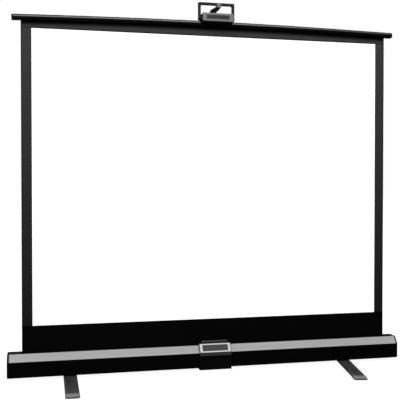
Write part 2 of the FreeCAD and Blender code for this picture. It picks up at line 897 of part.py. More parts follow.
def mast_collar(tube_top, outer_radius, inner_radius):
    """Collar fixed on an outer tube that guides the tube inside it and takes a thumb screw."""
    collar = rod_z(tube_top - collar_grip, tube_top + collar_neck, mast_x, mast_y, collar_radius)
    collar = collar.makeFillet(collar_round, edges_in_plane(collar, along_z, tube_top + collar_neck))
    collar = collar.cut(rod_z(tube_top - collar_grip, tube_top, mast_x, mast_y, outer_radius))
    collar = collar.cut(rod_z(tube_top, tube_top + collar_neck, mast_x, mast_y, inner_radius + running_gap))
    middle = tube_top + collar_neck / 2
    return collar.cut(rod_y(mast_y, mast_y + collar_radius, mast_x, middle,
                            knob_shank_radius + running_gap))


def mast_glide(tube_bottom, bore_radius, tube_radius):
    """Plug in the foot of an inner tube that rides in the bore of the tube outside it."""
    plug = rod_z(tube_bottom - glide_skirt, tube_bottom, mast_x, mast_y, bore_radius - running_gap)
    inside = rod_z(tube_bottom, tube_bottom + glide_length, mast_x, mast_y, tube_radius - mast_tube_wall)
    return plug.fuse(inside)


def thumb_knob(tube_top, inner_radius):
    """Lobed knob with a shank whose tip stands just off the inner tube."""
    middle = tube_top + collar_neck / 2
    face = mast_y + collar_radius + face_gap
    knob = rod_y(face, face + knob_thickness, mast_x, middle, knob_radius)
    for i in range(knob_lobes):
        angle = 2 * math.pi * i / knob_lobes
        reach = knob_radius + knob_lobe_depth
        knob = knob.cut(rod_y(face, face + knob_thickness, mast_x + reach * math.cos(angle),
                              middle + reach * math.sin(angle), 2 * knob_lobe_depth))
    tip = mast_y + inner_radius + 2 * face_gap
    return knob.fuse(rod_y(tip, face, mast_x, middle, knob_shank_radius))


def gooseneck():
    """Flat arm that bends forward from the mast, turned so that its pad lies behind the keeper."""
    half = arm_thickness / 2
    stem_bottom = mast_end
    bend_low = arm_z - arm_bend
    centre_y = mast_y - arm_bend
    nose = sheet_y - bail_thickness / 2 + face_gap + hole_gap
    pad_rear = nose + pad_length
    rise = pad_top - (arm_z + half)

    def at(y, z):
        return FreeCAD.Vector(mast_x - arm_width / 2, y, z)

    def bend(radius):
        middle = radius * math.sqrt(0.5)
        return Part.Arc(at(centre_y + radius, bend_low), at(centre_y + middle, bend_low + middle),
                        at(centre_y, bend_low + radius)).toShape()

    def line(a, b):
        return Part.LineSegment(a, b).toShape()

    stem_rear = at(mast_y + half, stem_bottom + flange_height)
    stem_front = at(mast_y - half, stem_bottom + flange_height)
    outer_low = at(mast_y + half, bend_low)
    outer_high = at(centre_y, arm_z + half)
    inner_low = at(mast_y - half, bend_low)
    inner_high = at(centre_y, arm_z - half)
    corners = [outer_high, at(pad_rear + rise / 2, arm_z + half), at(pad_rear, pad_top), at(nose, pad_top),
               at(nose, arm_z + half), at(nose + arm_thickness, arm_z - half), inner_high]
    edges = [line(stem_rear, outer_low), bend(arm_bend + half)]
    edges += [line(a, b) for a, b in zip(corners, corners[1:])]
    edges += [bend(arm_bend - half), line(inner_low, stem_front), line(stem_front, stem_rear)]
    profile = Part.Face(Part.Wire(Part.__sortEdges__(edges)))
    arm = profile.extrude(FreeCAD.Vector(arm_width, 0, 0))
    for side in (-1, 1):
        outside = mast_x + side * arm_width
        wide = mast_x + side * arm_width / 2
        narrow = mast_x + side * arm_nose_width / 2
        ahead = nose - arm_thickness
        flare = pad_rear + arm_flare_length
        taper = [(outside, ahead), (outside, flare), (wide, flare), (narrow, pad_rear), (narrow, ahead)]
        arm = arm.cut(prism_z(taper, arm_z - arm_bend, pad_top + arm_thickness))
    turn = math.degrees(math.asin(keeper_shift / (mast_y - nose)))
    arm.rotate(FreeCAD.Vector(mast_x, mast_y, 0), along_z, turn)
    flange = rod_z(stem_bottom, stem_bottom + flange_height, mast_x, mast_y, flange_radius)
    plug = rod_z(stem_bottom - glide_length, stem_bottom, mast_x, mast_y, top_tube_radius - mast_tube_wall)
    return arm.fuse(flange).fuse(plug).removeSplitter()


def socket_screw():
    """Set screw in the back of the socket that bears on the base tube."""
    middle = saddle_bottom + socket_height / 2
    return rod_y(mast_y + base_tube_radius, mast_y + base_tube_radius + socket_wall, mast_x, middle,
                 socket_screw_radius).common(rod_z(saddle_bottom, base_tube_top, mast_x, mast_y,
                                                   base_tube_radius + socket_wall)).cut(
        rod_z(saddle_bottom, base_tube_top, mast_x, mast_y, base_tube_radius))


# Feet

def foot_places():
    """Pivots of the left and right foot along the case."""
    reach = case_half - foot_inset
    return [-reach, reach]


def turned(shape, x, angle):
    """Shape turned about the upright axis of a foot's pivot."""
    copy = shape.copy()
    copy.rotate(FreeCAD.Vector(x, pivot_y, 0), along_z, angle)
    return copy


def foot_strip(x):
    """Flat strip with a bore for the pivot bolt and a recess for its head."""
    strip = block(x - strip_width / 2, x + strip_width / 2, pivot_y - front_reach + toe_slope,
                  pivot_y + rear_reach - toe_slope, strip_lift, strip_lift + strip_thickness)
    strip = strip.cut(rod_z(strip_lift, strip_lift + pivot_head_height, x, pivot_y,
                            pivot_head_radius + hole_gap))
    return strip.cut(rod_z(strip_lift, strip_lift + strip_thickness, x, pivot_y,
                           pivot_bolt_radius + running_gap))


def foot_toe(x, tip, towards):
    """Sloped cap on one end of a strip: towards is 1 when the strip lies on the +Y side of the tip."""
    half = strip_width / 2 + toe_side
    top = strip_lift + strip_thickness + toe_cover
    root = toe_slope + toe_grip
    toe = prism_x([(tip, foot_pad_thickness), (tip, toe_tip_height),
                   (tip + towards * toe_slope, top), (tip + towards * root, top),
                   (tip + towards * root, foot_pad_thickness)], x - half, x + half)
    upright = edges_along(toe, along_z, lambda middle: abs(middle.y - tip) < same_place)
    toe = toe.makeFillet(toe_corner, upright)
    return toe.cut(foot_strip(x))


def foot_pad(x, tip, towards):
    half = strip_width / 2 - foot_pad_margin
    near = tip + towards * foot_pad_margin / 2
    far = near + towards * foot_pad_length
    return block(x - half, x + half, min(near, far), max(near, far), 0, foot_pad_thickness)


def save_foot(name, x, angle):
    tips = [(pivot_y - front_reach, 1), (pivot_y + rear_reach, -1)]
    save(name + "_strip", turned(foot_strip(x), x, angle))
    save(name + "_toes", *[turned(foot_toe(x, tip, towards), x, angle) for tip, towards in tips])
    save(name + "_pads", *[turned(foot_pad(x, tip, towards), x, angle) for tip, towards in tips])


def pivot_washer(x):
    return tube_z(case_bottom - washer_thickness, case_bottom, x, pivot_y, washer_radius,
                  pivot_bolt_radius + hole_gap)


def pivot_plate(x):
    floor = case_bottom + case_wall
    half_width = case_depth / 2 - case_wall - port_inset - port_radius - pivot_plate_margin
    plate = block(x - pivot_plate_length / 2, x + pivot_plate_length / 2, pivot_y - half_width,
                  pivot_y + half_width, floor, floor + pivot_plate_thickness)
    return plate.cut(rod_z(floor, floor + pivot_plate_thickness, x, pivot_y, pivot_bolt_radius + hole_gap))


def pivot_bolt(x):
    seat = strip_lift + pivot_head_height - face_gap
    end = case_bottom + case_wall + pivot_plate_thickness + pivot_nut_height
    head = rod_z(seat - pivot_head_height, seat, x, pivot_y, pivot_head_radius)
    head = head.makeFillet(pivot_head_round, edges_in_plane(head, along_z, seat - pivot_head_height))
    return head.fuse(rod_z(seat, end, x, pivot_y, pivot_bolt_radius))


def pivot_nut(x):
    seat = case_bottom + case_wall + pivot_plate_thickness
    corners = []
    for i in range(6):
        angle = i * math.pi / 3
        across = pivot_nut_radius * math.cos(angle)
        corners.append((x + across, pivot_y + pivot_nut_radius * math.sin(angle)))
    nut = prism_z(corners, seat, seat + pivot_nut_height)
    return nut.cut(rod_z(seat, seat + pivot_nut_height, x, pivot_y, pivot_bolt_radius))


# Write every sub-part

os.makedirs("parts", exist_ok=True)

save("case_extrusion", case_extrusion())
save("front_trim_strips", *trim_plates())
save("end_cap_left", end_cap(-1))
save("end_cap_right", end_cap(1))
save("end_cap_screws", *[cap_screw(side, y, z) for side in (-1, 1) for y, z in port_places()])

save("roller_tube", roller_tube())
save("fabric_roll", fabric_roll())
save("roller_plug_left", roller_plug_left())
save("roller_plug_right", roller_plug_right())
save("roller_bush", roller_bush())
save("roller_spring", roller_spring())
save("spring_arbor", spring_arbor())

save("picture_surface", sheet_panel(-picture_width / 2, picture_width / 2, picture_bottom, picture_top))
save("sheet_border", sheet_border())
save("sheet_drop", sheet_panel(-sheet_half, sheet_half, roller_z, picture_bottom))

save("top_bar_tube", top_bar_tube())
save("top_bar_cap_left", top_bar_cap(-1))
save("top_bar_cap_right", top_bar_cap(1))
save("hem_rod", rod_x(-hem_rod_half, hem_rod_half, sheet_y, hem_rod_z, hem_rod_radius))
save("handle_base", handle_base())
save("handle_lid", handle_lid())
save("handle_front_plate", handle_front_plate())
save("handle_label_panel", handle_label_panel())
save("handle_screws", *[bar_screw(x, y) for x, y in bar_screw_places()])
save("bail", bail())
save("bail_pins", bail_pin(-1), bail_pin(1))
save("bail_keeper", bail_keeper())

save("saddle_front", saddle_front())
save("saddle_rear", saddle_rear())
save("saddle_screws", *[saddle_screw(x, y) for x, y in saddle_screw_places()])
save("saddle_label_frame", saddle_label_frame())
save("saddle_label_panel", saddle_label_panel())
save("bar_catch", bar_catch())

save("mast_base_tube", tube_z(mast_floor, base_tube_top, mast_x, mast_y, base_tube_radius,
                              base_tube_radius - mast_tube_wall))
save("mast_mid_tube", tube_z(mid_tube_bottom, mid_tube_top, mast_x, mast_y, mid_tube_radius,
                             mid_tube_radius - mast_tube_wall))
save("mast_top_tube", tube_z(top_tube_bottom, mast_end, mast_x, mast_y, top_tube_radius,
                             top_tube_radius - mast_tube_wall))
save("mast_lower_collar", mast_collar(base_tube_top, base_tube_radius, mid_tube_radius))
save("mast_upper_collar", mast_collar(mid_tube_top, mid_tube_radius, top_tube_radius))
save("mast_mid_glide", mast_glide(mid_tube_bottom, base_tube_radius - mast_tube_wall, mid_tube_radius))
save("mast_top_glide", mast_glide(top_tube_bottom, mid_tube_radius - mast_tube_wall, top_tube_radius))
save("mast_lower_knob", thumb_knob(base_tube_top, mid_tube_radius))
save("mast_upper_knob", thumb_knob(mid_tube_top, top_tube_radius))
save("mast_socket_screw", socket_screw())
save("gooseneck_hook", gooseneck())

save_foot("foot_left", foot_places()[0], 0)
save_foot("foot_right", foot_places()[1], -right_toe_in)
save("foot_pivot_bolts", *[pivot_bolt(x) for x in foot_places()])
save("foot_pivot_washers", *[pivot_washer(x) for x in foot_places()])
save("foot_pivot_plates", *[pivot_plate(x) for x in foot_places()])
save("foot_pivot_nuts", *[pivot_nut(x) for x in foot_places()])
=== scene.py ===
import math

import bmesh
import bpy
from mathutils import Matrix, Vector


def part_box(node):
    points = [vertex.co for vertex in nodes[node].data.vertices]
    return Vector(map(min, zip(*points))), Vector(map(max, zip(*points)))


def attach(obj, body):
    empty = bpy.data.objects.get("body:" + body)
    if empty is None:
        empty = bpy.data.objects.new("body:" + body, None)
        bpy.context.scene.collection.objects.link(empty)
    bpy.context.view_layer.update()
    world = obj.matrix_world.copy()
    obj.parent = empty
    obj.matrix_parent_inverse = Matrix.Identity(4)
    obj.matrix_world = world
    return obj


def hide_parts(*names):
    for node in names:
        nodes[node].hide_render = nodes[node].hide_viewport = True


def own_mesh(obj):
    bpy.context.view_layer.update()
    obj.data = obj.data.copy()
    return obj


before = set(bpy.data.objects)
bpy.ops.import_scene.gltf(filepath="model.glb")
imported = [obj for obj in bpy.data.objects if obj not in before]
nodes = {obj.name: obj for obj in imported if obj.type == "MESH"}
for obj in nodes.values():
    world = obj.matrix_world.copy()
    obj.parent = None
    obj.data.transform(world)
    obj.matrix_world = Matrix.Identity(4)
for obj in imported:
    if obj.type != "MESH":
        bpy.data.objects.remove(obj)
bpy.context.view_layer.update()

bl_info = {
    "name": "Tabletop projection screen",
    "version": (1, 0, 0),
    "blender": (4, 5, 0),
    "location": "View3D > Sidebar > Screen",
    "description": "Hangs the sheet of a tabletop projection screen and gives each piece its finish",
    "category": "Object",
}

# Name of a sidebar tab
PANEL_TAB = "Screen"

# Modelling: what counts as smooth, round, facing one way and at the same place
SMOOTH_ANGLE = math.radians(30.0)
ROUND_SIDES = 32
BEVEL_STEPS = 3
FACING = 0.5
SAME_PLACE = 0.00001

# Looks that finishes share: streaks, threads, edges, relief, mottle, dust and white
ALONG_X = (3.0, 900.0, 900.0)
ALONG_Y = (150.0, 4.0, 150.0)
ALONG_Z = (900.0, 900.0, 5.0)
ALL_WAYS = (240.0, 240.0, 240.0)
NO_STRETCH = (1.0, 1.0, 1.0)
THREAD_PITCH = 0.0006
PLAIN_EDGE = 0.0006
FINE_EDGE = 0.0003
MOULDED_EDGE = 0.0008
STREAK_RELIEF = 0.00005
GRAIN_RELIEF = 0.0001
STREAK_BANDS = 0.6
MOTTLE = 0.15
DUST_COLOUR = (0.3, 0.29, 0.27)
WHITE = (1.0, 1.0, 1.0, 1.0)

# Room as glossy pieces mirror it, by direction: dark walls, bright overhead, dimmer towards the back
WALL_TOP = 0.28
BRIGHT_FROM = 0.5
WALL_GLINT = 0.02
REAR_END = -0.1
FRONT_START = -0.4
REAR_SHARE = 0.2

# Sheet and bar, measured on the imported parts; the bow is the bar's drop per metre squared from its middle
picture_low, picture_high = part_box("picture_surface")
border_low, border_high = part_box("sheet_border")
drop_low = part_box("sheet_drop")[0]
bar_low, bar_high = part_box("top_bar_tube")
cap_low, cap_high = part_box("top_bar_cap_left")
bar_crown = bar_high.z - (cap_high.z - cap_low.z)
bar_bow = (bar_crown - bar_low.z) / bar_high.x ** 2


# Settings

def grey(level):
    """Colour with no hue."""
    return (level, level, level)


def colour_setting(name, description, default):
    """Colour that the user may change."""
    return bpy.props.FloatVectorProperty(
        name=name, description=description, subtype="COLOR", size=3, min=0.0, max=1.0, default=default)


def length_setting(name, description, default):
    """Length in metres that the user may change."""
    return bpy.props.FloatProperty(
        name=name, description=description, subtype="DISTANCE", unit="LENGTH", precision=5, default=default)


def place_setting(name, description, default):
    """Place in metres that the user may change."""
    return bpy.props.FloatVectorProperty(
        name=name, description=description, subtype="TRANSLATION", unit="LENGTH", size=3, default=default)


def number_setting(name, description, default, unit="NONE"):
    """Share, strength or other single number that the user may change."""
    return bpy.props.FloatProperty(name=name, description=description, unit=unit, default=default)


class StageSettings(bpy.types.PropertyGroup):
    """Floor, lights and camera."""

    floor_size: length_setting("Floor size", "Length of each side of the floor", 60.0)
    floor_colour: colour_setting("Floor", "Pale floor under the screen", grey(0.16))
    floor_mirrored: colour_setting("Mirrored floor", "Floor as glossy pieces mirror it", grey(0.03))
    floor_glow: number_setting("Floor glow", "Light that comes up through the floor", 0.92)
    room_glow: number_setting("Room glow", "Even light from all round on matt surfaces", 1.0)
    room_glint: number_setting("Room glint", "Brightest part of the room as glossy pieces mirror it", 1.6)
    key_power: number_setting("Key light", "Power of the long light above the front", 45.0, "POWER")
    key_place: place_setting("Key place", "Where the long light hangs", (-0.4, -1.5, 2.5))
    key_target: place_setting("Key target", "Point that the long light looks at", (0.0, 0.0, 0.3))
    key_length: length_setting("Key length", "Long side of the light above the front", 3.2)
    key_depth: length_setting("Key depth", "Short side of the light above the front", 1.3)
    rear_power: number_setting("Rear light", "Power of the light above the back", 20.0, "POWER")
    rear_place: place_setting("Rear place", "Where the rear light hangs", (0.5, 1.6, 2.4))
    rear_target: place_setting("Rear target", "Point that the rear light looks at", (0.0, 0.0, 0.5))
    rear_length: length_setting("Rear length", "Long side of the light above the back", 2.0)
    rear_depth: length_setting("Rear depth", "Short side of the light above the back", 0.8)
    camera_place: place_setting("Camera place", "Where the camera stands", (-0.4577, -1.9283, 0.5139))
    camera_turn: bpy.props.FloatVectorProperty(
        name="Camera turn", description="How the camera is turned", subtype="EULER", unit="ROTATION",
        size=3, default=(math.radians(89.04), 0.0, math.radians(-12.28)))
    camera_lens: number_setting("Lens", "Focal length in millimetres", 63.1, "CAMERA")
    camera_sensor: number_setting("Sensor", "Width of the sensor in millimetres", 36.0, "CAMERA")


class FinishSettings(bpy.types.PropertyGroup):
    """Colours of the finishes, and the bands and rims among them, some of them painted highlight and
    painted shade.
    """

    case_black: colour_setting("Case", "Anodised black of the case and the bar", grey(0.0005))
    # Facet trim grey: partly the strip's own colour, partly a painted reflection of the light above the
    # front
    trim_grey: colour_setting("Facet trim", "Brushed strip along the front of the case", grey(0.265))
    plastic_black: colour_setting("Mouldings", "Black of the moulded pieces", grey(0.0008))
    paint_black: colour_setting("Paint", "Black paint of the bail and the hook", grey(0.003))
    plate_grey: colour_setting("Front plate", "Satin grey of the handle's front", grey(0.112))
    toe_grey: colour_setting("Toes", "Grey of the foot tips", grey(0.13))
    label_silver: colour_setting("Label frame", "Light frame on the saddle", grey(0.46))
    label_dark: colour_setting("Label panel", "Bare dark panels", grey(0.024))
    steel_grey: colour_setting("Steel", "Bare steel of the roller's spring and arbor", grey(0.5))
    strip_grey: colour_setting("Foot strip", "Dark paint of the foot strips", grey(0.044))
    zinc_grey: colour_setting("Zinc", "Plated screws and bolts", (0.56, 0.57, 0.58))
    tube_grey: colour_setting("Aluminium", "Drawn aluminium of the roller", (0.72, 0.73, 0.74))
    nylon_white: colour_setting("Nylon", "Plugs, bush and glides", (0.68, 0.66, 0.6))
    picture_white: colour_setting("Picture", "Matt white picture surface", grey(0.9))
    border_black: colour_setting("Border", "Black margin of the sheet", grey(0.031))
    drop_black: colour_setting("Drop", "Deep black below the picture", grey(0.0005))
    # Painted highlight: the saddle's rounded front edge under its label, lit from above
    saddle_highlight_grey: colour_setting("Saddle band", "Satin band under the saddle's label", grey(0.023))
    # Lighter grey band along the top edge of the catch
    lip_grey: colour_setting("Catch lip", "Bare edge of the catch", grey(0.078))
    rubber_black: colour_setting("Rubber", "Pads under the feet", grey(0.012))
    rubbed_plastic: colour_setting("Rubbed mouldings", "Rubbed edges of the moulded pieces", grey(0.02))
    rubbed_paint: colour_setting("Rubbed paint", "Rubbed edges of the bail and the hook", grey(0.05))
    # Height of the saddle's painted highlight
    saddle_highlight_height: length_setting("Band height", "Height of the band under the saddle's label", 0.0085)
    # Height of the lighter band along the catch's top edge
    lip_height: length_setting("Lip height", "Height of the catch's bare edge", 0.003)
    # Painted shadow: height of the dark band along the foot of a toe, next to the table
    toe_shadow_height: length_setting("Tip height", "Height of the dark edge of a toe", 0.0024)
    # Painted shade: width of the darker rim round a toe, whose sides turn from the light
    shaded_rim_width: length_setting("Rim width", "Width of the darker rim of a toe", 0.003)


class SheetSettings(bpy.types.PropertyGroup):
    """Projection sheet."""

    thickness: length_setting("Thickness", "Thickness of the cloth", picture_high.y - picture_low.y)
    ripple: length_setting("Ripple", "How far the cloth stands off its plane", 0.0012)
    ripple_spread: length_setting("Ripple spread", "Distance between one ripple and the next", 0.22)
    calm: length_setting("Calm ends", "Length at the bar and the slot that stays flat", 0.12)
    pitch: length_setting("Thread pitch", "Spacing of the threads", THREAD_PITCH)
    cell: length_setting("Mesh cell", "Size of one face of the sheet's mesh", 0.016)
    seam: length_setting("Seam", "Width of the welded seams", 0.003)
    seam_shade: number_setting("Seam shade", "How far the seams go to the drop's black", 0.65)
    # Painted shade: how far the border darkens to the drop's black at its foot, where less of the light
    # from above reaches
    painted_low_shade: number_setting("Low shade", "How far the border goes to the drop's black at its foot", 0.85)
    # Painted shadow of the top bar on the border: its height under the bar's crown, and the length over
    # which it lightens
    bar_shadow: length_setting("Fold", "Height of the dark fold under the bar", 0.007)
    bar_shadow_fade: length_setting("Fold fade", "Length over which the fold lightens", 0.009)
    layer_gap: length_setting("Layer gap", "Air between the roller and the first turn of cloth", 0.00005)
    wound_share: number_setting("Wound share", "Thickness of the wound cloth over the sheet's", 0.9)
    turns: number_setting("Turns", "Turns of cloth left on the roller", 1.5)
    turn_steps: bpy.props.IntProperty(
        name="Turn steps", description="Straight steps that one turn is made of", default=48)


class ScrewSettings(bpy.types.PropertyGroup):
    """Screws and bolts."""

    cap_head: length_setting("Cap screw head", "Height of the heads in the end caps", 0.002)
    cap_shank: length_setting("Cap screw shank", "Radius of the shanks in the end caps", 0.0016)
    saddle_head: length_setting("Saddle screw head", "Height of the heads under the saddle", 0.002)
    saddle_shank: length_setting("Saddle screw shank", "Radius of the shanks under the saddle", 0.002)
    bolt_head: length_setting("Pivot bolt head", "Height of the heads under the feet", 0.0022)
    bolt_shank: length_setting("Pivot bolt shank", "Radius of the shanks in the feet", 0.004)
    head_round: number_setting("Head round", "Round of a head, as a share of its height", 0.35)
    recess_reach: number_setting("Recess reach", "Reach of a recess, as a share of the head's radius", 0.5)
    recess_depth: number_setting("Recess depth", "Depth of a recess, as a share of the head's height", 0.6)
    cross_arm: number_setting("Cross arm", "Width of a cross's arms, as a share of its reach", 0.4)


# Node trees

def feed(tree, source, socket):
    """Link an output to a socket, or set a plain value on it."""
    if isinstance(source, bpy.types.NodeSocket):
        tree.links.new(source, socket)
    else:
        socket.default_value = source


def maths(tree, operation, first, second=0.0, clamp=False):
    """One sum on one or two values."""
    node = tree.nodes.new("ShaderNodeMath")
    node.operation = operation
    node.use_clamp = clamp
    feed(tree, first, node.inputs[0])
    feed(tree, second, node.inputs[1])
    return node.outputs["Value"]


def spread(tree, value, low, high, to_low=0.0, to_high=1.0):
    """Value from one range laid out over another, held at its ends."""
    node = tree.nodes.new("ShaderNodeMapRange")
    feed(tree, value, node.inputs["Value"])
    for label, amount in (("From Min", low), ("From Max", high), ("To Min", to_low), ("To Max", to_high)):
        feed(tree, amount, node.inputs[label])
    return node.outputs["Result"]


def blend_colours(tree, mask, first, second):
    """First colour where the mask is 0, second where it is 1."""
    node = tree.nodes.new("ShaderNodeMix")
    node.data_type = "RGBA"
    feed(tree, mask, node.inputs[0])
    for socket, colour in ((node.inputs[6], first), (node.inputs[7], second)):
        feed(tree, colour if isinstance(colour, bpy.types.NodeSocket) else (*colour, 1.0), socket)
    return node.outputs[2]


def noise(tree, place, scale, detail=3.0):
    """Cloudy value from 0 to 1."""
    node = tree.nodes.new("ShaderNodeTexNoise")
    feed(tree, place, node.inputs["Vector"])
    feed(tree, scale, node.inputs["Scale"])
    feed(tree, detail, node.inputs["Detail"])
    return node.outputs[0]


def stretched_place(tree, factors):
    """Place on the object, each axis multiplied by its own factor."""
    place = tree.nodes.new("ShaderNodeTexCoord")
    node = tree.nodes.new("ShaderNodeVectorMath")
    node.operation = "MULTIPLY"
    tree.links.new(place.outputs["Object"], node.inputs[0])
    feed(tree, factors, node.inputs[1])
    return node.outputs["Vector"]


def along(tree, axis):
    """Place on the object along one axis."""
    place = tree.nodes.new("ShaderNodeTexCoord")
    split = tree.nodes.new("ShaderNodeSeparateXYZ")
    tree.links.new(place.outputs["Object"], split.inputs["Vector"])
    return split.outputs[axis]


def between(tree, value, low, high, soft=0.0006):
    """1 between two levels, 0 outside them, with a soft step at each."""
    rise = spread(tree, value, low - soft, low)
    fall = spread(tree, value, high, high + soft, 1.0, 0.0)
    return maths(tree, "MULTIPLY", rise, fall)


def new_group(name, inputs, outputs):
    """Empty shader group with named sockets; returns its tree, its input node and its output node."""
    tree = bpy.data.node_groups.new(name, "ShaderNodeTree")
    for label, kind, default in inputs:
        tree.interface.new_socket(label, in_out="INPUT", socket_type=kind).default_value = default
    for label, kind in outputs:
        tree.interface.new_socket(label, in_out="OUTPUT", socket_type=kind)
    return tree, tree.nodes.new("NodeGroupInput"), tree.nodes.new("NodeGroupOutput")


def brushed_streaks():
    """Long fine scratches that run along the axis with the smallest stretch."""
    tree, start, end = new_group(
        "Brushed streaks",
        [("Stretch", "NodeSocketVector", ALONG_X)],
        [("Streak", "NodeSocketFloat"), ("Band", "NodeSocketFloat")])
    place = stretched_place(tree, start.outputs["Stretch"])
    fine = noise(tree, place, scale=1.0, detail=4.0)
    broad = noise(tree, place, scale=0.12, detail=2.0)
    tree.links.new(spread(tree, fine, 0.38, 0.62), end.inputs["Streak"])
    tree.links.new(spread(tree, broad, 0.35, 0.65), end.inputs["Band"])
    return tree


def moulded_grain():
    """Fine spark-eroded grain, with a slow mottle over it."""
    tree, start, end = new_group(
        "Moulded grain",
        [("Grain", "NodeSocketFloat", 1400.0), ("Cloud", "NodeSocketFloat", 18.0)],
        [("Height", "NodeSocketFloat"), ("Mottle", "NodeSocketFloat")])
    place = stretched_place(tree, NO_STRETCH)
    pits = tree.nodes.new("ShaderNodeTexVoronoi")
    tree.links.new(place, pits.inputs["Vector"])
    tree.links.new(start.outputs["Grain"], pits.inputs["Scale"])
    cloud = noise(tree, place, scale=start.outputs["Cloud"], detail=4.0)
    tree.links.new(pits.outputs["Distance"], end.inputs["Height"])
    tree.links.new(spread(tree, cloud, 0.3, 0.7), end.inputs["Mottle"])
    return tree


def woven_cloth():
    """Plain weave of threads along X and Z."""
    tree, start, end = new_group(
        "Woven cloth",
        [("Pitch", "NodeSocketFloat", THREAD_PITCH)],
        [("Height", "NodeSocketFloat"), ("Slub", "NodeSocketFloat")])
    waves = []
    for axis in ("X", "Z"):
        turns = maths(tree, "DIVIDE", along(tree, axis), start.outputs["Pitch"])
        waves.append(maths(tree, "SINE", maths(tree, "MULTIPLY", turns, math.pi)))
    over = maths(tree, "MULTIPLY", waves[0], waves[1])
    tree.links.new(spread(tree, over, -1.0, 1.0), end.inputs["Height"])
    slubs = noise(tree, stretched_place(tree, (9.0, 60.0, 220.0)), scale=1.0)
    tree.links.new(spread(tree, slubs, 0.35, 0.65), end.inputs["Slub"])
    return tree


def soft_edges():
    """Rounds sharp edges in the shading, marks where they are rubbed and marks the whole rim, which some
    finishes darken as painted shade.
    """
    tree, start, end = new_group(
        "Soft edges",
        [("Radius", "NodeSocketFloat", PLAIN_EDGE)],
        [("Normal", "NodeSocketVector"), ("Wear", "NodeSocketFloat"), ("Rim", "NodeSocketFloat")])
    rounded = tree.nodes.new("ShaderNodeBevel")
    rounded.samples = 6
    tree.links.new(start.outputs["Radius"], rounded.inputs["Radius"])
    surface = tree.nodes.new("ShaderNodeNewGeometry")
    facing = tree.nodes.new("ShaderNodeVectorMath")
    facing.operation = "DOT_PRODUCT"
    tree.links.new(rounded.outputs["Normal"], facing.inputs[0])
    tree.links.new(surface.outputs["Normal"], facing.inputs[1])
    rub = spread(tree, facing.outputs["Value"], 0.97, 0.8)
    clouds = noise(tree, stretched_place(tree, NO_STRETCH), scale=130.0, detail=4.0)
    patches = spread(tree, clouds, 0.42, 0.62)
    tree.links.new(rounded.outputs["Normal"], end.inputs["Normal"])
    tree.links.new(maths(tree, "MULTIPLY", rub, patches, clamp=True), end.inputs["Wear"])
    tree.links.new(spread(tree, facing.outputs["Value"], 0.998, 0.92), end.inputs["Rim"])
    return tree


def settled_dust():
    """Thin dust on faces that look up."""
    tree, start, end = new_group(
        "Settled dust",
        [("Amount", "NodeSocketFloat", 0.3)],
        [("Dust", "NodeSocketFloat")])
    place = tree.nodes.new("ShaderNodeTexCoord")
    split = tree.nodes.new("ShaderNodeSeparateXYZ")
    tree.links.new(place.outputs["Normal"], split.inputs["Vector"])
    upward = spread(tree, split.outputs["Z"], 0.6, 1.0)
    specks = spread(tree, noise(tree, place.outputs["Object"], scale=300.0, detail=6.0), 0.5, 0.75)
    amount = maths(tree, "MULTIPLY", upward, start.outputs["Amount"])
    tree.links.new(maths(tree, "MULTIPLY", amount, specks, clamp=True), end.inputs["Dust"])
    return tree


GROUP_MAKERS = {
    "Brushed streaks": brushed_streaks,
    "Moulded grain": moulded_grain,
    "Woven cloth": woven_cloth,
    "Soft edges": soft_edges,
    "Settled dust": settled_dust,
}


class Finish:
    """A material in the making: its node tree, its shader and the groups placed in it."""

    def __init__(self, name, metallic=0.0, specular=0.5):
        self.material = bpy.data.materials.new(name)
        self.material.use_nodes = True
        self.tree = self.material.node_tree
        self.shader = self.tree.nodes["Principled BSDF"]
        self.shader.inputs["Metallic"].default_value = metallic
        self.shader.inputs["Specular IOR Level"].default_value = specular

    def place(self, name, **values):
        """Put a shared group in the tree, with its own values."""
        node = self.tree.nodes.new("ShaderNodeGroup")
        node.node_tree = bpy.data.node_groups.get(name) or GROUP_MAKERS[name]()
        for label, value in values.items():
            feed(self.tree, value, node.inputs[label.capitalize()])
        return node.outputs

    def tone(self, mask, first, second):
        """Mix two colours by a mask; what it returns can be mixed again."""
        return blend_colours(self.tree, mask, first, second)

    def paint(self, colour):
        """Colour of the surface."""
        feed(self.tree, colour, self.shader.inputs["Base Color"])

    def roughen(self, mask, smooth, rough):
        """Roughness between two values."""
        feed(self.tree, spread(self.tree, mask, 0.0, 1.0, smooth, rough), self.shader.inputs["Roughness"])

    def bump(self, height, strength, distance, normal=None):
        """Relief of the surface, on top of its softened edges."""
        node = self.tree.nodes.new("ShaderNodeBump")
        node.inputs["Strength"].default_value = strength
        node.inputs["Distance"].default_value = distance
        feed(self.tree, height, node.inputs["Height"])
        if normal is not None:
            feed(self.tree, normal, node.inputs["Normal"])
        self.tree.links.new(node.outputs["Normal"], self.shader.inputs["Normal"])


def scaled(colour, factor):
    """Colour made lighter or darker."""
    return tuple(channel * factor for channel in colour)


def dusted(finish, colour, amount):
    """Colour with a thin veil of dust where the surface looks up."""
    dust = finish.place("Settled dust", amount=amount)
    return finish.tone(dust["Dust"], colour, DUST_COLOUR)


def brushed_finish(name, colour, stretch, smooth, rough, depth, metallic=0.0, specular=0.5,
                   radius=PLAIN_EDGE, contrast=0.12, edge=1.5, edge_wear_and_shade="Wear"):
    """Metal with long streaks, and edges lighter or darker: rubbed edges, or the whole rim darkened as
    painted shade.
    """
    finish = Finish(name, metallic, specular)
    streaks = finish.place("Brushed streaks", stretch=stretch)
    edges = finish.place("Soft edges", radius=radius)
    dark = scaled(colour, 1.0 - contrast)
    body = finish.tone(streaks["Streak"], dark, scaled(colour, 1.0 + contrast))
    body = finish.tone(maths(finish.tree, "MULTIPLY", streaks["Band"], STREAK_BANDS), body, dark)
    finish.paint(finish.tone(edges[edge_wear_and_shade], body, scaled(colour, edge)))
    finish.roughen(streaks["Streak"], smooth, rough)
    finish.bump(streaks["Streak"], depth, STREAK_RELIEF, edges["Normal"])
    return finish.material


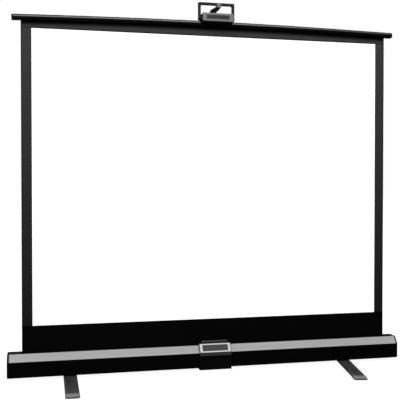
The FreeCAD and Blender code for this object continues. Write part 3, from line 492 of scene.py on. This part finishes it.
def moulded_finish(name, colour, smooth, rough, specular, grain, depth, edge_wear_and_shade, dust, band=None, rim=None):
    """Grained plastic or paint with rubbed edges, a little dust and, if asked for, a band and a rim; the
    saddle's band is a painted highlight, and the toes' band and rim are painted shadow and painted shade.
    """
    finish = Finish(name, 0.0, specular)
    texture = finish.place("Moulded grain", grain=grain)
    edges = finish.place("Soft edges", radius=MOULDED_EDGE)
    body = finish.tone(texture["Mottle"], scaled(colour, 1.0 - MOTTLE), scaled(colour, 1.0 + MOTTLE))
    body = finish.tone(edges["Wear"], body, edge_wear_and_shade)
    if band is not None:
        low, high, band_colour = band
        body = finish.tone(between(finish.tree, along(finish.tree, "Z"), low, high), body, band_colour)
    if rim is not None:
        radius, rim_colour = rim
        body = finish.tone(finish.place("Soft edges", radius=radius)["Rim"], body, rim_colour)
    finish.paint(dusted(finish, body, dust))
    finish.roughen(texture["Mottle"], smooth, rough)
    finish.bump(texture["Height"], depth, GRAIN_RELIEF, edges["Normal"])
    return finish.material


def start_cloth(name, colour, pitch, specular, slub):
    """Coated cloth in the making: its finish, its weave and its colour so far."""
    finish = Finish(name, 0.0, specular)
    weave = finish.place("Woven cloth", pitch=pitch)
    body = finish.tone(weave["Slub"], scaled(colour, 1.0 - slub), colour)
    return finish, weave, finish.tone(weave["Height"], scaled(colour, 1.0 - 2.0 * slub), body)


def end_cloth(finish, weave, body, smooth, rough, depth):
    """Paint the cloth and give it the relief of its weave."""
    finish.paint(body)
    finish.roughen(weave["Slub"], smooth, rough)
    finish.bump(weave["Height"], depth, GRAIN_RELIEF)
    return finish.material


def case_black(colours):
    return brushed_finish("Anodised black", colours.case_black, ALONG_X, smooth=0.3, rough=0.42,
                          depth=0.15, specular=0.1)


def bar_black(colours):
    return brushed_finish("Anodised bar", colours.case_black, ALONG_X, smooth=0.1, rough=0.16,
                          depth=0.06)


# Matt grey: partly the brushed strip's own colour, partly a painted reflection of the light above the front
def facet_trim(colours):
    return brushed_finish("Brushed facet trim", colours.trim_grey, ALONG_X, smooth=0.4, rough=0.55,
                          depth=0.3, specular=0.3, radius=FINE_EDGE)


def black_moulding(name, colours, specular=0.12, depth=0.12, dust=0.05, band=None):
    """Black plastic, with a band of its own if asked for."""
    return moulded_finish(name, colours.plastic_black, smooth=0.36, rough=0.46, specular=specular,
                          grain=1400.0, depth=depth, edge_wear_and_shade=colours.rubbed_plastic, dust=dust, band=band)


def moulded_black(colours):
    return black_moulding("Moulded black", colours)


def saddle_black(colours):
    # Painted highlight: a lighter band just under the label frame, where the saddle's rounded front edge
    # catches the light above
    label_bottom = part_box("saddle_label_frame")[0].z
    band = (label_bottom - colours.saddle_highlight_height, label_bottom, colours.saddle_highlight_grey)
    return black_moulding("Saddle black", colours, band=band)


def catch_black(colours):
    # Lighter grey band along the top edge of the catch, lip_height tall
    lip_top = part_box("bar_catch")[1].z
    lip = (lip_top - colours.lip_height, lip_top, colours.lip_grey)
    return black_moulding("Catch black", colours, specular=0.24, depth=0.06, dust=0.0, band=lip)


def painted_black(colours):
    return moulded_finish("Painted black", colours.paint_black, smooth=0.3, rough=0.4, specular=0.4,
                          grain=900.0, depth=0.06, edge_wear_and_shade=colours.rubbed_paint, dust=0.05)


def plate_grey(colours):
    return moulded_finish("Satin grey", colours.plate_grey, smooth=0.4, rough=0.5, specular=0.4,
                          grain=1800.0, depth=0.06, edge_wear_and_shade=scaled(colours.plate_grey, 1.3), dust=0.05)


def toe_grey(colours):
    tip_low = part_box("foot_left_toes")[0].z
    # Painted shadow: the foot of each toe goes dark where it meets the table
    tip = (tip_low, tip_low + colours.toe_shadow_height, scaled(colours.toe_grey, 0.2))
    # Painted shade: the whole rim of each toe darker, as its sides turn from the light
    rim = (colours.shaded_rim_width, scaled(colours.toe_grey, 0.45))
    # Darker rubbed edges on the toes: partly wear, partly painted shade
    return moulded_finish("Grey toe", colours.toe_grey, smooth=0.42, rough=0.55, specular=0.3,
                          grain=1200.0, depth=0.12, edge_wear_and_shade=scaled(colours.toe_grey, 0.6), dust=0.1,
                          band=tip, rim=rim)


def label_silver(colours):
    return brushed_finish("Silver label frame", colours.label_silver, ALONG_X, smooth=0.4, rough=0.5,
                          depth=0.1, specular=0.3, radius=FINE_EDGE)


def label_dark(colours):
    return moulded_finish("Bare label panel", colours.label_dark, smooth=0.32, rough=0.4, specular=0.16,
                          grain=2200.0, depth=0.04, edge_wear_and_shade=scaled(colours.label_dark, 1.4), dust=0.02)


def spring_steel(colours):
    return brushed_finish("Spring steel", colours.steel_grey, ALONG_X, smooth=0.3, rough=0.42,
                          depth=0.12, metallic=1.0, radius=FINE_EDGE)


# Painted shade: the whole rim of each strip darkened to a fifth, for its sides in shadow
def strip_grey(colours):
    return brushed_finish("Rolled foot strip", colours.strip_grey, ALONG_Y, smooth=0.38, rough=0.55,
                          depth=0.35, metallic=0.2, specular=0.3, radius=0.004, contrast=0.5, edge=0.2,
                          edge_wear_and_shade="Rim")


def mast_black(colours):
    return brushed_finish("Drawn mast tube", colours.case_black, ALONG_Z, smooth=0.28, rough=0.4,
                          depth=0.15, specular=0.4)


def zinc_plate(colours):
    return brushed_finish("Zinc plate", colours.zinc_grey, ALL_WAYS, smooth=0.3, rough=0.46, depth=0.1,
                          metallic=0.5, radius=0.0002)


def roller_tube(colours):
    return brushed_finish("Drawn aluminium", colours.tube_grey, ALONG_X, smooth=0.3, rough=0.45,
                          depth=0.15, metallic=1.0)


def nylon_white(colours):
    return moulded_finish("Natural nylon", colours.nylon_white, smooth=0.4, rough=0.5, specular=0.4,
                          grain=900.0, depth=0.05, edge_wear_and_shade=scaled(colours.nylon_white, 0.9), dust=0.0)


def rubber_black(colours):
    return moulded_finish("Rubber pad", colours.rubber_black, smooth=0.7, rough=0.85, specular=0.3,
                          grain=700.0, depth=0.25, edge_wear_and_shade=scaled(colours.rubber_black, 2.0), dust=0.1)


def cloth_finish(name, colour, sheet, specular, slub, smooth, rough, depth):
    """Coated cloth of one colour."""
    finish, weave, body = start_cloth(name, colour, sheet.pitch, specular, slub)
    return end_cloth(finish, weave, body, smooth, rough, depth)


def picture_cloth(colours, sheet):
    return cloth_finish("Matt white picture", colours.picture_white, sheet, specular=0.2, slub=0.015,
                        smooth=0.85, rough=0.95, depth=0.08)


def bar_level(tree):
    """Height above the table, with the bow of the bar taken out."""
    across = maths(tree, "ABSOLUTE", along(tree, "X"))
    bow = maths(tree, "MULTIPLY", maths(tree, "POWER", across, 2.0), bar_bow)
    return maths(tree, "ADD", along(tree, "Z"), bow)


def border_cloth(colours, sheet):
    """Black margin: painted shade that darkens it towards the drop, a painted shadow under the bowed bar,
    and darker seams.
    """
    finish, weave, body = start_cloth(
        "Black border", colours.border_black, sheet.pitch, specular=0.1, slub=0.12)
    tree = finish.tree
    height = along(tree, "Z")
    across = maths(tree, "ABSOLUTE", along(tree, "X"))
    # Painted shade: the border darkens towards the drop's black lower down, standing in for light from
    # above falling off
    painted_falloff = spread(tree, height, picture_low.z, picture_high.z, sheet.painted_low_shade, 0.0)
    body = finish.tone(painted_falloff, body, colours.drop_black)
    for level, edge in ((across, border_high.x - sheet.seam), (height, picture_high.z)):
        seam = between(tree, level, edge, edge + sheet.seam)
        body = finish.tone(maths(tree, "MULTIPLY", seam, sheet.seam_shade), body, colours.drop_black)
    # Painted shadow: the border goes to the drop's black just under the bowed bar, which shades it from the
    # light above
    bar_shadow = bar_crown - sheet.bar_shadow
    painted_bar_shadow = spread(tree, bar_level(tree), bar_shadow - sheet.bar_shadow_fade, bar_shadow)
    body = finish.tone(painted_bar_shadow, body, colours.drop_black)
    return end_cloth(finish, weave, body, smooth=0.6, rough=0.75, depth=0.15)


def drop_cloth(colours, sheet):
    return cloth_finish("Deep black drop", colours.drop_black, sheet, specular=0.05, slub=0.12,
                        smooth=0.7, rough=0.85, depth=0.15)


def backing_cloth(colours, sheet):
    return cloth_finish("Black backing", scaled(colours.border_black, 0.4), sheet, specular=0.3,
                        slub=0.15, smooth=0.6, rough=0.75, depth=0.2)


def finish_for(maker, *values):
    """Material made by a function, made once and shared."""
    key = "made_" + maker.__name__
    known = [material for material in bpy.data.materials if material.get(key)]
    if known:
        return known[0]
    material = maker(bpy.context.scene.screen_finish, *values)
    material[key] = True
    return material


def dress(maker, *names):
    """Give CAD nodes a finish."""
    material = finish_for(maker)
    for name in names:
        for slot in nodes[name].material_slots:
            slot.material = material


# Modelling

def clear_selection():
    """Leave nothing selected, and no edit mode open."""
    if bpy.context.object is not None and bpy.context.object.mode != "OBJECT":
        bpy.ops.object.mode_set(mode="OBJECT")
    bpy.ops.object.select_all(action="DESELECT")


def settle(name):
    """Name the new piece and move its place into its mesh."""
    piece = bpy.context.object
    piece.name = name
    piece.data.name = name
    bpy.ops.object.transform_apply(location=True, rotation=True, scale=True)
    return piece


def apply_modifiers(piece):
    """Make every modifier of a piece part of its mesh."""
    for name in [modifier.name for modifier in piece.modifiers]:
        bpy.ops.object.modifier_apply(modifier=name)


def make_only(piece):
    """Select one piece and make it the active one."""
    clear_selection()
    piece.select_set(True)
    bpy.context.view_layer.objects.active = piece


def cut_line(piece, point, normal):
    """Cut a line of edges right across a piece."""
    make_only(piece)
    bpy.ops.object.mode_set(mode="EDIT")
    bpy.ops.mesh.select_all(action="SELECT")
    bpy.ops.mesh.bisect(plane_co=point, plane_no=normal)
    bpy.ops.object.mode_set(mode="OBJECT")


def open_with(piece, kind, chosen):
    """Open a piece in edit mode with only the chosen corners (VERT) or faces (FACE) selected."""
    make_only(piece)
    bpy.ops.object.mode_set(mode="EDIT")
    bpy.ops.mesh.select_mode(type=kind)
    bpy.ops.mesh.select_all(action="DESELECT")
    bpy.ops.object.mode_set(mode="OBJECT")
    elements = {"VERT": piece.data.vertices, "FACE": piece.data.polygons}
    for element in elements[kind]:
        element.select = chosen(element)
    bpy.ops.object.mode_set(mode="EDIT")


def thicken(piece, thickness):
    """Give a sheet its thickness, half on each side, apply its modifiers and shade it smooth."""
    solid = piece.modifiers.new("Thickness", "SOLIDIFY")
    solid.thickness = thickness
    solid.offset = 0.0
    apply_modifiers(piece)
    bpy.ops.object.shade_smooth_by_angle(angle=SMOOTH_ANGLE)


# Stage

def white_background(tree, strength):
    """White light from all round."""
    node = tree.nodes.new("ShaderNodeBackground")
    node.inputs["Color"].default_value = WHITE
    feed(tree, strength, node.inputs["Strength"])
    return node.outputs["Background"]


def seen_or_mirrored(tree, seen, mirrored, output):
    """Give an output one shader as it is seen, and another as glossy pieces mirror it."""
    rays = tree.nodes.new("ShaderNodeLightPath")
    either = tree.nodes.new("ShaderNodeMixShader")
    tree.links.new(rays.outputs["Is Glossy Ray"], either.inputs["Fac"])
    tree.links.new(seen, either.inputs[1])
    tree.links.new(mirrored, either.inputs[2])
    tree.links.new(either.outputs["Shader"], output.inputs["Surface"])


def studio_world(settings):
    """White room: even light on matt surfaces; glossy ones mirror a bright upper front and dark walls."""
    world = bpy.data.worlds.new("Studio")
    world.use_nodes = True
    bpy.context.scene.world = world
    tree = world.node_tree
    tree.nodes.clear()
    place = tree.nodes.new("ShaderNodeTexCoord")
    split = tree.nodes.new("ShaderNodeSeparateXYZ")
    tree.links.new(place.outputs["Generated"], split.inputs["Vector"])
    above = spread(tree, split.outputs["Z"], WALL_TOP, BRIGHT_FROM, WALL_GLINT, settings.room_glint)
    ahead = spread(tree, split.outputs["Y"], REAR_END, FRONT_START, REAR_SHARE, 1.0)
    glow = white_background(tree, settings.room_glow)
    glint = white_background(tree, maths(tree, "MULTIPLY", above, ahead))
    seen_or_mirrored(tree, glow, glint, tree.nodes.new("ShaderNodeOutputWorld"))


def floor_finish(settings):
    """Pale lit floor with a faint cloudiness, dark in what glossy pieces mirror."""
    finish = Finish("Pale floor", specular=0.1)
    texture = finish.place("Moulded grain", grain=300.0, cloud=2.0)
    shade = scaled(settings.floor_colour, 0.985)
    finish.paint(finish.tone(texture["Mottle"], shade, settings.floor_colour))
    finish.roughen(texture["Mottle"], 0.8, 0.95)
    finish.shader.inputs["Emission Color"].default_value = WHITE
    finish.shader.inputs["Emission Strength"].default_value = settings.floor_glow
    mirrored = finish.tree.nodes.new("ShaderNodeBsdfDiffuse")
    mirrored.inputs["Color"].default_value = (*settings.floor_mirrored, 1.0)
    seen_or_mirrored(finish.tree, finish.shader.outputs["BSDF"], mirrored.outputs["BSDF"],
                     finish.tree.nodes["Material Output"])
    return finish.material


def soft_light(name, place, target, length, depth, power):
    """Large rectangular light turned towards a point."""
    clear_selection()
    turn = (Vector(target) - Vector(place)).to_track_quat("-Z", "Y").to_euler()
    bpy.ops.object.light_add(type="AREA", location=place, rotation=turn)
    light = bpy.context.object
    light.name = name
    light.data.shape = "RECTANGLE"
    light.data.size = length
    light.data.size_y = depth
    light.data.energy = power


class SCREEN_OT_stage(bpy.types.Operator):
    """Lay the floor and set up the lights and the camera"""

    bl_idname = "screen.stage"
    bl_label = "Stage"

    def execute(self, context):
        settings = context.scene.screen_stage
        studio_world(settings)
        clear_selection()
        bpy.ops.mesh.primitive_plane_add(size=settings.floor_size, location=(0.0, 0.0, 0.0))
        floor = settle("Floor")
        floor.data.materials.append(floor_finish(settings))
        soft_light("Key light", settings.key_place, settings.key_target, settings.key_length,
                   settings.key_depth, settings.key_power)
        soft_light("Rear light", settings.rear_place, settings.rear_target, settings.rear_length,
                   settings.rear_depth, settings.rear_power)
        bpy.ops.object.camera_add(location=settings.camera_place, rotation=settings.camera_turn)
        camera = context.object
        camera.data.sensor_width = settings.camera_sensor
        camera.data.lens = settings.camera_lens
        context.scene.camera = camera
        context.scene.view_settings.view_transform = "Standard"
        return {"FINISHED"}


# Projection sheet

def flat_sheet(settings):
    """Upright grid of the sheet's size, cut along the edges of the picture."""
    low = Vector((border_low.x, picture_low.y, drop_low.z))
    high = Vector((border_high.x, picture_high.y, border_high.z))
    size = high - low
    clear_selection()
    bpy.ops.mesh.primitive_grid_add(
        x_subdivisions=round(size.x / settings.cell), y_subdivisions=round(size.z / settings.cell),
        size=1.0, location=(low + high) / 2, rotation=(math.radians(90.0), 0.0, 0.0))
    bpy.context.object.scale = (size.x, size.z, 1.0)
    piece = settle("projection_sheet")
    for x in (picture_low.x, picture_high.x):
        cut_line(piece, (x, 0.0, 0.0), (1.0, 0.0, 0.0))
    for z in (picture_low.z, picture_high.z):
        cut_line(piece, (0.0, 0.0, z), (0.0, 0.0, 1.0))
    return piece, (size.x, size.z)


def ripple_sheet(piece, settings):
    """Let the cloth wander a little off its plane, but not at the bar or in the slot."""
    slot_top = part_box("case_extrusion")[1].z
    group = piece.vertex_groups.new(name="Ripple")
    for vertex in piece.data.vertices:
        from_slot = (vertex.co.z - slot_top) / settings.calm
        from_bar = (border_high.z - vertex.co.z) / settings.calm
        group.add([vertex.index], max(0.0, min(1.0, from_slot, from_bar)), "REPLACE")
    clouds = bpy.data.textures.new("Ripple", "CLOUDS")
    clouds.noise_scale = settings.ripple_spread
    make_only(piece)
    ripple = piece.modifiers.new("Ripple", "DISPLACE")
    ripple.texture = clouds
    ripple.direction = "Y"
    ripple.strength = 2.0 * settings.ripple
    ripple.vertex_group = group.name
    thicken(piece, settings.thickness)


def colour_sheet(piece, settings):
    """White picture, black border, deep black drop and a black back."""
    cloths = [picture_cloth, border_cloth, drop_cloth, backing_cloth]
    for maker in cloths:
        piece.data.materials.append(finish_for(maker, settings))
    for face in piece.data.polygons:
        inside = picture_low.x < face.center.x < picture_high.x
        above_drop = face.center.z > picture_low.z
        if face.normal.y > FACING:
            face.material_index = cloths.index(backing_cloth)
        elif not above_drop:
            face.material_index = cloths.index(drop_cloth)
        elif inside and face.normal.y < -FACING and face.center.z < picture_high.z:
            face.material_index = cloths.index(picture_cloth)
        else:
            face.material_index = cloths.index(border_cloth)


class SCREEN_OT_sheet(bpy.types.Operator):
    """Hang the sheet between the roller and the top bar"""

    bl_idname = "screen.sheet"
    bl_label = "Projection sheet"

    def execute(self, context):
        settings = context.scene.screen_sheet
        piece, flat = flat_sheet(settings)
        ripple_sheet(piece, settings)
        colour_sheet(piece, settings)
        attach(piece, "case")
        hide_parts("picture_surface", "sheet_border", "sheet_drop")
        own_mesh(piece)
        return {"FINISHED"}


# Fasteners

def solid_boxes(name):
    """Box of each separate solid of a CAD node."""
    mesh = bmesh.new()
    mesh.from_mesh(nodes[name].data)
    mesh.transform(nodes[name].matrix_world)
    bmesh.ops.remove_doubles(mesh, verts=mesh.verts, dist=SAME_PLACE)
    left = set(mesh.verts)
    boxes = []
    while left:
        island = [left.pop()]
        for vertex in island:
            near = {edge.other_vert(vertex) for edge in vertex.link_edges} & left
            left -= near
            island.extend(near)
        spans = [sorted(vertex.co[axis] for vertex in island) for axis in range(3)]
        boxes.append((Vector([span[0] for span in spans]), Vector([span[-1] for span in spans])))
    mesh.free()
    return sorted(boxes, key=lambda box: tuple(box[0]))


def cross_cutter(reach, depth, top):
    """Upright cross: a bar with an arm drawn out of each side."""
    arm = bpy.context.scene.screen_screws.cross_arm * reach
    clear_selection()
    bpy.ops.mesh.primitive_cube_add(size=1.0, location=(0.0, 0.0, top))
    bpy.context.object.scale = (arm, arm, 2.0 * depth)
    piece = settle("cutter")
    open_with(piece, "FACE", lambda face: abs(face.normal.z) < FACING)
    bpy.ops.mesh.extrude_faces_move(TRANSFORM_OT_shrink_fatten={"value": reach - arm / 2})
    bpy.ops.object.mode_set(mode="OBJECT")
    return piece


def hexagon_cutter(reach, depth, top):
    """Upright hexagon bar."""
    clear_selection()
    bpy.ops.mesh.primitive_cylinder_add(
        vertices=6, radius=reach, depth=2.0 * depth, location=(0.0, 0.0, top))
    return settle("cutter")


def headed_screw(length, radius, head, shank, cutter):
    """Screw along Z, tip at 0: a shank, a rounded head drawn out of its end and a recess to drive it."""
    settings = bpy.context.scene.screen_screws
    seat = length - head
    clear_selection()
    bpy.ops.mesh.primitive_cylinder_add(
        vertices=ROUND_SIDES, radius=shank, depth=seat, location=(0.0, 0.0, seat / 2))
    piece = settle("screw")
    open_with(piece, "FACE", lambda face: face.normal.z > FACING)
    bpy.ops.mesh.extrude_region_move(TRANSFORM_OT_translate={"value": (0.0, 0.0, 0.0)})
    flare = radius / shank
    bpy.ops.transform.resize(value=(flare, flare, 1.0), center_override=(0.0, 0.0, seat))
    bpy.ops.mesh.extrude_region_move(TRANSFORM_OT_translate={"value": (0.0, 0.0, head)})
    bpy.ops.mesh.bevel(offset=settings.head_round * head, segments=BEVEL_STEPS, affect="EDGES")
    bpy.ops.object.mode_set(mode="OBJECT")
    tool = cutter(settings.recess_reach * radius, settings.recess_depth * head, length)
    make_only(piece)
    recess = piece.modifiers.new("Recess", "BOOLEAN")
    recess.operation = "DIFFERENCE"
    recess.object = tool
    apply_modifiers(piece)
    bpy.data.objects.remove(tool)
    bpy.ops.object.shade_smooth_by_angle(angle=SMOOTH_ANGLE)
    return piece


def set_screws(node, facing, head, shank, cutter):
    """Screws in place of those of a CAD node; facing gives the way that a screw's head looks."""
    boxes = solid_boxes(node)
    ways = [Vector(facing(low, high)) for low, high in boxes]
    first_size = boxes[0][1] - boxes[0][0]
    length = abs(first_size.dot(ways[0]))
    radius = max(first_size[axis] for axis in range(3) if abs(ways[0][axis]) < FACING) / 2
    model = headed_screw(length, radius, head, shank, cutter)
    copies = []
    for (low, high), way in zip(boxes, ways):
        screw = model.copy()
        screw.data = model.data.copy()
        bpy.context.collection.objects.link(screw)
        tip = (low + high) / 2 - way * length / 2
        turn = Vector((0.0, 0.0, 1.0)).rotation_difference(way).to_matrix().to_4x4()
        screw.data.transform(Matrix.Translation(tip) @ turn)
        copies.append(screw)
    bpy.data.objects.remove(model)
    clear_selection()
    for screw in copies:
        screw.select_set(True)
    bpy.context.view_layer.objects.active = copies[0]
    if len(copies) > 1:
        bpy.ops.object.join()
    piece = settle(node + "_detail")
    piece.data.materials.append(finish_for(zinc_plate))
    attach(piece, "case")
    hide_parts(node)


def outward(low, high):
    """Away from the middle of the part, along X."""
    return (math.copysign(1.0, low.x + high.x), 0.0, 0.0)


def downward(low, high):
    """Towards the table."""
    return (0.0, 0.0, -1.0)


# Cloth on the roller

def spiral_points(middle, inner, outer, settings):
    """Places along the wound cloth, from where it leaves at the front, down and round to the tube."""
    count = round(settings.turns * settings.turn_steps)
    points = []
    for step in range(count + 1):
        angle = step / settings.turn_steps * math.tau
        radius = outer + (inner - outer) * step / count
        points.append(middle + radius * Vector((0.0, -math.cos(angle), -math.sin(angle))))
    return points


def wound_cloth(settings):
    """Strip of cloth drawn out along a spiral, one straight step at a time."""
    tube_low, tube_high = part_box("roller_tube")
    roll_low, roll_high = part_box("fabric_roll")
    thickness = settings.wound_share * settings.thickness
    inner = (tube_high.z - tube_low.z + thickness) / 2 + settings.layer_gap
    outer = (roll_high.z - roll_low.z - thickness) / 2
    points = spiral_points((roll_low + roll_high) / 2, inner, outer, settings)
    width = roll_high.x - roll_low.x
    first = points[1] - points[0]
    clear_selection()
    bpy.ops.mesh.primitive_plane_add(
        size=1.0, location=(points[0] + points[1]) / 2, rotation=(math.atan2(first.z, first.y), 0.0, 0.0))
    bpy.context.object.scale = (width, first.length, 1.0)
    piece = settle("wound_cloth")
    open_with(piece, "VERT", lambda corner: (corner.co.yz - points[1].yz).length < SAME_PLACE)
    for start, end in zip(points[1:], points[2:]):
        bpy.ops.mesh.extrude_edges_move(TRANSFORM_OT_translate={"value": end - start})
    bpy.ops.mesh.select_all(action="SELECT")
    bpy.ops.mesh.normals_make_consistent(inside=False)
    bpy.ops.object.mode_set(mode="OBJECT")
    thicken(piece, thickness)
    length = sum((end - start).length for start, end in zip(points, points[1:]))
    return piece, (width, length)


# Groups of pieces

class SCREEN_OT_case(bpy.types.Operator):
    """Finish the case, its caps and its facet trim, and set the caps' screws"""

    bl_idname = "screen.case"
    bl_label = "Case"

    def execute(self, context):
        dress(case_black, "case_extrusion")
        dress(moulded_black, "end_cap_left", "end_cap_right")
        dress(facet_trim, "front_trim_strips")
        screws = context.scene.screen_screws
        set_screws("end_cap_screws", outward, screws.cap_head, screws.cap_shank, cross_cutter)
        return {"FINISHED"}


class SCREEN_OT_roller(bpy.types.Operator):
    """Finish the spring roller inside the case and wind the rest of the cloth on it"""

    bl_idname = "screen.roller"
    bl_label = "Roller"

    def execute(self, context):
        dress(roller_tube, "roller_tube", "hem_rod")
        dress(nylon_white, "roller_plug_left", "roller_plug_right", "roller_bush")
        dress(spring_steel, "spring_arbor", "roller_spring")
        settings = context.scene.screen_sheet
        piece, flat = wound_cloth(settings)
        piece.data.materials.append(finish_for(drop_cloth, settings))
        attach(piece, "roller")
        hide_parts("fabric_roll")
        return {"FINISHED"}


class SCREEN_OT_saddle(bpy.types.Operator):
    """Finish the saddle, its bare label and its catch, and set its screws"""

    bl_idname = "screen.saddle"
    bl_label = "Saddle"

    def execute(self, context):
        dress(saddle_black, "saddle_front")
        dress(moulded_black, "saddle_rear")
        dress(label_silver, "saddle_label_frame")
        dress(label_dark, "saddle_label_panel")
        dress(catch_black, "bar_catch")
        screws = context.scene.screen_screws
        set_screws("saddle_screws", downward, screws.saddle_head, screws.saddle_shank, cross_cutter)
        return {"FINISHED"}


class SCREEN_OT_top_bar(bpy.types.Operator):
    """Finish the top bar"""

    bl_idname = "screen.top_bar"
    bl_label = "Top bar"

    def execute(self, context):
        dress(bar_black, "top_bar_tube")
        dress(moulded_black, "top_bar_cap_left", "top_bar_cap_right")
        return {"FINISHED"}


class SCREEN_OT_handle(bpy.types.Operator):
    """Finish the handle box and the bail"""

    bl_idname = "screen.handle"
    bl_label = "Handle"

    def execute(self, context):
        dress(moulded_black, "handle_base", "handle_lid")
        dress(plate_grey, "handle_front_plate", "bail_keeper")
        dress(label_dark, "handle_label_panel")
        dress(painted_black, "bail")
        dress(zinc_plate, "handle_screws", "bail_pins")
        return {"FINISHED"}


class SCREEN_OT_mast(bpy.types.Operator):
    """Finish the telescopic mast and its hook"""

    bl_idname = "screen.mast"
    bl_label = "Mast"

    def execute(self, context):
        dress(mast_black, "mast_base_tube", "mast_mid_tube", "mast_top_tube")
        dress(moulded_black, "mast_lower_collar", "mast_upper_collar")
        dress(moulded_black, "mast_lower_knob", "mast_upper_knob")
        dress(nylon_white, "mast_mid_glide", "mast_top_glide")
        dress(painted_black, "gooseneck_hook")
        dress(zinc_plate, "mast_socket_screw")
        return {"FINISHED"}


class SCREEN_OT_feet(bpy.types.Operator):
    """Finish the swivel feet and set their pivot bolts"""

    bl_idname = "screen.feet"
    bl_label = "Feet"

    def execute(self, context):
        for side in ("left", "right"):
            dress(strip_grey, "foot_" + side + "_strip")
            dress(toe_grey, "foot_" + side + "_toes")
            dress(rubber_black, "foot_" + side + "_pads")
        dress(zinc_plate, "foot_pivot_washers", "foot_pivot_plates", "foot_pivot_nuts")
        screws = context.scene.screen_screws
        set_screws("foot_pivot_bolts", downward, screws.bolt_head, screws.bolt_shank, hexagon_cutter)
        return {"FINISHED"}


# Panel and registration

OPERATORS = [SCREEN_OT_stage, SCREEN_OT_case, SCREEN_OT_roller, SCREEN_OT_saddle, SCREEN_OT_sheet,
             SCREEN_OT_top_bar, SCREEN_OT_handle, SCREEN_OT_mast, SCREEN_OT_feet]


class SCREEN_PT_pieces(bpy.types.Panel):
    """Lists the steps that build the screen"""

    bl_label = "Projection screen"
    bl_idname = "SCREEN_PT_pieces"
    bl_space_type = "VIEW_3D"
    bl_region_type = "UI"
    bl_category = PANEL_TAB

    def draw(self, context):
        for operator in OPERATORS:
            self.layout.operator(operator.bl_idname)


SETTINGS = {
    "screen_stage": StageSettings,
    "screen_finish": FinishSettings,
    "screen_sheet": SheetSettings,
    "screen_screws": ScrewSettings,
}


def register():
    for group in SETTINGS.values():
        bpy.utils.register_class(group)
    for name, group in SETTINGS.items():
        setattr(bpy.types.Scene, name, bpy.props.PointerProperty(type=group))
    for operator in OPERATORS:
        bpy.utils.register_class(operator)
    bpy.utils.register_class(SCREEN_PT_pieces)


def unregister():
    bpy.utils.unregister_class(SCREEN_PT_pieces)
    for operator in reversed(OPERATORS):
        bpy.utils.unregister_class(operator)
    for name in SETTINGS:
        delattr(bpy.types.Scene, name)
    for group in SETTINGS.values():
        bpy.utils.unregister_class(group)


def main():
    register()
    bpy.ops.screen.stage()
    bpy.ops.screen.case()
    bpy.ops.screen.roller()
    bpy.ops.screen.saddle()
    bpy.ops.screen.sheet()
    bpy.ops.screen.top_bar()
    bpy.ops.screen.handle()
    bpy.ops.screen.mast()
    bpy.ops.screen.feet()


if __name__ == "__main__":
    main()
